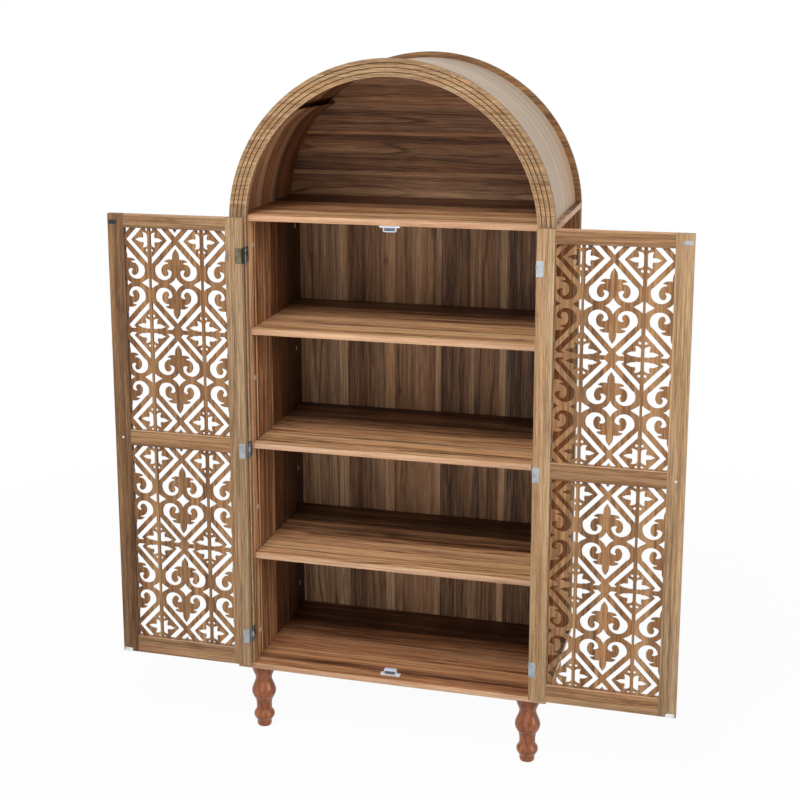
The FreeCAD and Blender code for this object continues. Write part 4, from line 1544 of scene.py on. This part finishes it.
@dataclass
class Hinges:
    """The hinge leaves and their screws on the case and on both doors."""

    shop: Workshop
    axis_x: float = 357.5
    axis_out: float = 3.5
    leaf_width: float = 17.0
    leaf_start: float = 0.2
    neck_start: float = 1.5
    neck_end: float = 0.3
    overlap: float = 0.1
    # Above this height the left door's leaves take the painted dark reflection.
    dull_above: float = 1100.0
    hinge: Hinge = field(default_factory=Hinge)

    def middles(self) -> list[float]:
        """Heights of the hinge middles, from the ends of the CAD leaves."""
        low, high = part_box("hinge_frame_leaves")
        half = self.hinge.length * MM / 2
        return [low.z + half, (low.z + high.z) / 2, high.z - half]

    def plate(self, bm: Shape, low: tuple, high: tuple) -> None:
        """A thin plate with its corners given in any order."""
        add_box(bm, Vector(map(min, low, high)), Vector(map(max, low, high)))

    def build(self) -> None:
        """Build and dress every leaf."""
        shop, h, front = self.shop, self.hinge, cad_front()
        screw = cross_head("hinge_screw_pattern", h.screw_radius * MM, 0.22 * MM)
        case, case_marks = bmesh.new(), []
        for side in Side:
            sign = side.value
            axis = Vector((sign * self.axis_x * MM, front - self.axis_out * MM, 0))
            door, door_marks = bmesh.new(), []
            edge_low, edge_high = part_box("door_hinge_stile_" + side.label)
            edge = edge_low.x if side is Side.RIGHT else edge_high.x
            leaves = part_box("door_hinge_leaves_" + side.label)
            plate_y = leaves[0].y
            for middle in self.middles():
                low, high = middle - h.length * MM / 2, middle + h.length * MM / 2
                spans = h.spans(middle)
                inner = axis.x - sign * h.leaf * MM
                leaf_ends = (front + self.leaf_start * MM, front + self.leaf_width * MM)
                neck_ends = (axis.y + self.neck_start * MM, front + self.neck_end * MM)
                self.plate(case, (inner, leaf_ends[0], low), (axis.x, leaf_ends[1], high))
                for span in spans[::2]:
                    self.plate(case, (inner, neck_ends[0], span[0]), (axis.x, neck_ends[1], span[1]))
                    h.knuckle(case, axis, span)
                low_end, high_end = spans[1][0] - h.pin_into * MM, spans[1][1] + h.pin_into * MM
                pin = [(0.0, 0.0), (h.pin_radius * MM, 0.0)]
                pin += [(r, high_end - low_end) for r, _ in reversed(pin)]
                lathe(case, pin, Vector((axis.x, axis.y, low_end)), UP, 16)
                near = edge - sign * h.leaf * MM
                tail = edge + sign * self.leaf_width * MM
                back = edge_high.y
                self.plate(door, (near, plate_y, low), (edge, back, high))
                self.plate(door, (near, plate_y, low), (tail, edge_low.y, high))
                self.plate(door, (near, back - self.overlap * MM, spans[1][0]), (edge, axis.y, spans[1][1]))
                h.knuckle(door, axis, spans[1])
                for step in (-h.screw_step, h.screw_step):
                    z = middle + step * MM
                    place = Vector((inner, front + h.frame_screw_in * MM, z))
                    case_marks.append((place, Vector((-sign, 0, 0))))
                    place = Vector((edge + sign * h.door_screw_in * MM, plate_y + h.screw_sunk * MM, z))
                    door_marks.append((place, FORWARD))
            body = side.label + "_door"
            bevel_sharp(door, h.arris * MM, 1, 80.0)
            left = side is Side.LEFT
            piece = shaped("door_hinge_leaves_plated_" + side.label, door)
            # Leaves above this height on the left door take the painted dark reflection.
            dull = self.dull_above * MM
            painted(piece, (shop.steel, shop.aged), lambda face: left and face.center.z > dull)
            dressed(piece, body, shop.steel, "door_hinge_leaves_" + side.label)
            metal = shop.bright if left else shop.steel
            name = "door_hinge_screws_" + side.label
            dressed(shop.repeat.lay(name, door_marks, screw, metal, 3.0, 11), body, metal)
        bevel_sharp(case, h.arris * MM, 1, 80.0)
        dressed(shaped("frame_hinge_leaves_plated", case), "case", shop.dull, "hinge_frame_leaves")
        screws = shop.repeat.lay("frame_hinge_screws", case_marks, screw, shop.steel, 3.0, 7)
        dressed(screws, "case", shop.steel)


@dataclass
class Catches:
    """Two double magnetic catches: a raised box between two screwed ears."""

    shop: Workshop
    box_width: float = 31.0
    height: float = 15.0
    ear_inset: float = 1.5
    ear: float = 4.5
    wall: float = 1.6
    plate: float = 1.2
    fit: float = 0.1
    screw_radius: float = 2.6

    def build(self) -> None:
        """Build and dress the catches."""
        low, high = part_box("catch_housings")
        shop, tall = self.shop, self.height * MM
        half, ear = self.box_width * MM / 2, self.ear * MM
        bm, poles, magnets, marks = bmesh.new(), bmesh.new(), bmesh.new(), []
        for base, up in ((low.z, 1), (high.z, -1)):

            def block(
                x0: float, x1: float, y0: float, y1: float, z0: float, z1: float, into: Shape = bm
            ) -> None:
                """A block with heights taken from the face that the catch sits on."""
                a, b = base + up * z0, base + up * z1
                add_box(into, Vector((x0, y0, min(a, b))), Vector((x1, y1, max(a, b))))

            wall = self.wall * MM
            block(low.x, high.x, low.y + self.ear_inset * MM, high.y - self.ear_inset * MM, 0.0, ear)
            block(-half, half, high.y - wall, high.y, ear, tall)
            block(-half, half, low.y, high.y - wall, tall - wall, tall)
            for sign in (-1, 1):
                block(*sorted((sign * half, sign * (half - wall))), low.y, high.y - wall, ear, tall - wall)
                place = Vector((sign * (half + high.x) / 2, (low.y + high.y) / 2, base + up * ear))
                marks.append((place, UP * up))
            fit, plate = self.fit * MM, self.plate * MM
            inner, back, roof = half - wall - fit, high.y - wall - fit, tall - wall
            block(-inner, inner, low.y + fit, back, ear + fit, ear + plate, poles)
            block(-inner, inner, low.y + fit, back, roof - plate, roof - fit, poles)
            block(-inner, inner, low.y + plate, back, ear + plate + fit, roof - plate - fit, magnets)
        bevel_sharp(bm, 0.5 * MM, 2, 60.0)
        dressed(shaped("catches_moulded", bm), "case", shop.plastic, "catch_housings")
        screw = cross_head("catch_screw_pattern", self.screw_radius * MM, 0.3 * MM)
        dressed(shop.repeat.lay("catch_screws", marks, screw, shop.bright, 3.0, 19), "case", shop.bright)
        bevel_sharp(poles, 0.1 * MM, 1)
        dressed(shaped("catch_poles_plated", poles), "case", shop.steel, "catch_pole_plates")
        bevel_sharp(magnets, 0.2 * MM, 1)
        dressed(shaped("catch_magnet_blocks", magnets), "case", shop.magnet, "catch_magnets")


@dataclass
class Door:
    """One door: framed and grooved boards, two pierced sheets, a knob and two strikes."""

    shop: Workshop
    side: Side
    arris: float = 0.9
    groove: float = 8.0
    slot_width: float = 5.7
    knob_height: float = 781.5
    strike: Point2 = (11.0, 5.0)
    strike_in: float = 14.5
    strike_screw_in: float = 5.0
    strike_arris: float = 0.25
    screw_sunk: float = 0.25
    knob: tuple[Point2, ...] = (
        (0.0, 0.0), (8.2, 0.0), (8.6, 0.5), (8.4, 1.6), (6.6, 2.6), (5.4, 4.2), (5.0, 7.0), (5.6, 9.4),
        (8.4, 11.2), (11.4, 13.4), (12.8, 16.0), (12.9, 18.4), (11.8, 20.8), (9.4, 22.4), (5.4, 23.6),
        (0.0, 23.9),
    )

    @property
    def body(self) -> str:
        """The CAD body that the door's pieces ride on."""
        return self.side.label + "_door"

    def grooved(self, node: str, upright: bool, grooves: tuple[bool, bool]) -> Piece:
        """A frame board with soft arrises and grooves for the sheets.

        Args:
            node: CAD node that gives its place.
            upright: A stile if true, a rail if not.
            grooves: Whether its lower and upper narrow sides are grooved.

        Returns:
            The board.
        """
        low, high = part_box(node)
        if not upright:
            stiles = [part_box(f"door_{kind}_stile_{self.side.label}") for kind in ("hinge", "free")]
            edges = sorted(x for box in stiles for x in (box[0].x, box[1].x))
            low, high = Vector((edges[1], low.y, low.z)), Vector((edges[2], high.y, high.z))
        a0, a1 = (low.x, high.x) if upright else (low.z, high.z)
        middle, half, deep = (low.y + high.y) / 2, self.slot_width * MM / 2, self.groove * MM

        def slot(edge: float, into: float, half: float) -> list[Point2]:
            """The corners of a groove in one edge."""
            near, far = middle - half, middle + half
            return [(edge, near), (edge + into, near), (edge + into, far), (edge, far)]

        section = [(a0, low.y), (a1, low.y)] + (slot(a1, -deep, half) if grooves[1] else [])
        section += [(a1, high.y), (a0, high.y)] + (slot(a0, deep, -half) if grooves[0] else [])
        bm = bmesh.new()
        if upright:
            add_prism(bm, [Vector((a, y, low.z)) for a, y in section], UP * (high.z - low.z))
        else:
            add_prism(bm, [Vector((low.x, y, a)) for a, y in section], Vector((high.x - low.x, 0, 0)))
        bevel_sharp(bm, self.arris * MM * 0.7, 2)
        return shaped(node + "_board", bm)

    def build(self, sheet: Mesh) -> None:
        """Build and dress the door.

        Args:
            sheet: The pierced sheet about the middle of a window.
        """
        shop, label = self.shop, self.side.label
        inward = (self.side is Side.LEFT, self.side is Side.RIGHT)
        for kind, grooves in (("hinge", inward), ("free", inward[::-1])):
            node = f"door_{kind}_stile_{label}"
            # The left door's free stile takes the darker copy, painted shade.
            far = kind == "free" and self.side is Side.LEFT
            wood = shop.door_dark if far else shop.door_stile
            dressed(self.grooved(node, True, grooves), self.body, wood, node)
        for kind, grooves in (("bottom", (False, True)), ("middle", (True, True)), ("top", (True, False))):
            node = f"door_{kind}_rail_{label}"
            # Upward faces take the lighter top finish: edge banding plus painted light from above.
            rail, finishes = self.grooved(node, False, grooves), (shop.door_rail, shop.rim)
            painted(rail, finishes, lambda face: face.normal.z > LEVEL)
            dressed(rail, self.body, shop.door_rail, node)
        nodes = [f"door_{level}_fretwork_{label}" for level in ("lower", "upper")]
        marks = [(sum(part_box(node), ORIGIN) / 2, FORWARD) for node in nodes]
        piece = shop.repeat.lay("fretwork_sheets_" + label, marks, sheet, shop.fret)

        def cut_edge(face: bpy.types.MeshPolygon) -> int:
            """0 for the broad faces, 1 for the cut edges and 2 for those that look up, which take painted
            light from above.
            """
            return 0 if abs(face.normal.y) >= 0.5 else 2 if face.normal.z > LEVEL else 1

        painted(piece, (shop.fret, shop.burnt, shop.lit), cut_edge)
        dressed(piece, self.body, shop.fret, *nodes)
        self.fittings()

    def fittings(self) -> None:
        """The knob, the strike plates and their screws."""
        shop, label = self.shop, self.side.label
        low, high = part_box("door_fittings_" + label)
        stile_low, stile_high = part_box("door_free_stile_" + label)
        across = (stile_low.x + stile_high.x) / 2
        height = self.knob_height * MM
        bm = bmesh.new()
        knob = [(r * MM, h * MM) for r, h in self.knob]
        lathe(bm, knob, Vector((across, stile_high.y, height)), Vector((0, 1, 0)))
        marks = [(Vector((across, stile_low.y, height)), FORWARD)]
        free = self.side.value
        middle = (stile_low.x if free < 0 else stile_high.x) - free * self.strike_in * MM
        wide, tall = self.strike[0] * MM, self.strike[1] * MM
        for z in (low.z + tall, high.z - tall):
            plate = bmesh.new()
            turns = [math.radians(15.0 * k - 90.0) for k in range(13)]
            outline = [(-(wide - tall) - tall * math.cos(a), tall * math.sin(a)) for a in turns]
            outline += [(wide, tall), (wide, -tall)]
            section = [Vector((middle + free * x, low.y, z + dz)) for x, dz in outline]
            add_prism(plate, section, FORWARD * (low.y - stile_low.y))
            bevel_sharp(plate, self.strike_arris * MM, 1, 80.0)
            bm.from_mesh(mesh_of("strike", plate))
            place = Vector((middle - free * self.strike_screw_in * MM, low.y + self.screw_sunk * MM, z))
            marks.append((place, FORWARD))
        rim = stile_low.y + 0.1 * MM
        # The strikes' metals differ only as painted reflection: dark on the left door's upper strike, light
        # on the lower ones.
        finishes = (shop.dull, shop.bright, shop.black if self.side is Side.LEFT else shop.steel)

        def strike_or_knob(face: bpy.types.MeshPolygon) -> int:
            """0 for the knob, 1 for the lower strike and 2 for the upper one, their metals painted
            reflections.
            """
            return (1 if face.center.z < height else 2) if face.center.y < rim else 0

        piece = painted(shaped("door_knob_and_strikes_" + label, bm), finishes, strike_or_knob)
        dressed(piece, self.body, shop.dull, "door_fittings_" + label)
        screw = cross_head("door_screw_pattern", 3.0 * MM, 0.22 * MM)
        name = "door_screws_" + label
        dressed(shop.repeat.lay(name, marks, screw, shop.bright, 3.0, 23), self.body, shop.bright)


@dataclass(frozen=True)
class SoftLight:
    """A square light that looks at the middle of the cabinet."""

    name: str
    place: Triple
    size: float
    power: float

    def build(self) -> None:
        """Hang the light."""
        data = bpy.data.lights.new(self.name, "AREA")
        data.size = self.size
        data.energy = self.power
        lamp = bpy.data.objects.new(self.name, data)
        lamp.location = self.place
        lamp.rotation_euler = (LOOK_AT - lamp.location).to_track_quat("-Z", "Y").to_euler()
        bpy.context.scene.collection.objects.link(lamp)


@dataclass
class Studio:
    """A white floor, soft lights and the camera of the photograph."""

    eye: Triple = (0.89456, -3.59903, 1.87442)
    turn: Triple = (78.2383, 0.4538, 16.5535)
    lens: float = 67.179
    shift: Point2 = (0.075, -0.1125)
    near_share: float = 0.96
    ambient: float = 0.1
    floor_size: float = 60.0
    floor_grey: float = 0.86
    fade: Point2 = (1.0, 3.0)
    far_clip: float = 200.0
    lights: tuple[SoftLight, ...] = (
        SoftLight("key", (-0.4, -2.9, 4.1), 1.7, 145.0),
        SoftLight("fill_front", (-0.2, -4.2, 1.0), 2.0, 30.0),
        SoftLight("fill_right", (4.2, -1.3, 1.6), 2.0, 100.0),
        SoftLight("fill_left", (-3.4, -1.9, 1.8), 2.0, 18.0),
        SoftLight("fill_rear", (-0.8, 4.4, 1.6), 2.0, 20.0),
    )

    def floor(self) -> None:
        """A wide pale floor that keeps a soft shadow."""
        s = Shader("studio_floor")
        s.nodes.remove(s.surface)
        matte = s.add("BsdfDiffuse", Color=(*(self.floor_grey,) * 3, 1.0))
        away = s.vector("LENGTH", s.place()).outputs["Value"]
        far = s.math("MULTIPLY", s.grey(away, *self.fade), 1.0 - self.near_share)
        share = s.math("MULTIPLY", s.backdrop(), s.math("ADD", far, self.near_share))
        s.blended(share, matte.outputs[0], s.add("Emission").outputs[0])
        bm = bmesh.new()
        bmesh.ops.create_grid(bm, x_segments=2, y_segments=2, size=self.floor_size)
        floor = shaped("floor", bm)
        floor.data.materials.append(s.material)

    def build(self) -> None:
        """Set the stage."""
        self.floor()
        world = bpy.data.worlds.new("studio")
        tree = Tree(world, "OutputWorld")
        dim, white = (
            tree.add("Background", Color=(1.0, 1.0, 1.0, 1.0), Strength=power).outputs[0]
            for power in (self.ambient, 1.0)
        )
        tree.blended(tree.backdrop(), dim, white)
        bpy.context.scene.world = world
        for light in self.lights:
            light.build()
        camera = bpy.data.objects.new("camera", bpy.data.cameras.new("camera"))
        camera.data.lens = self.lens
        camera.data.shift_x, camera.data.shift_y = self.shift
        camera.data.clip_end = self.far_clip
        camera.location = self.eye
        camera.rotation_euler = [math.radians(a) for a in self.turn]
        bpy.context.scene.collection.objects.link(camera)
        bpy.context.scene.camera = camera
        bpy.context.scene.view_settings.view_transform = "Standard"


def main() -> None:
    """Build the cabinet and the stage."""
    logging.basicConfig(level=logging.INFO, format="%(name)s: %(message)s")
    shop = Workshop()
    Carcass(shop).build()
    Arch(shop).build()
    Legs(shop).build()
    Hinges(shop).build()
    Catches(shop).build()
    upright = Fretwork().sheet()
    for side in Side:
        Door(shop, side).build(upright)
    Studio().build()


if __name__ == "__main__":
    main()
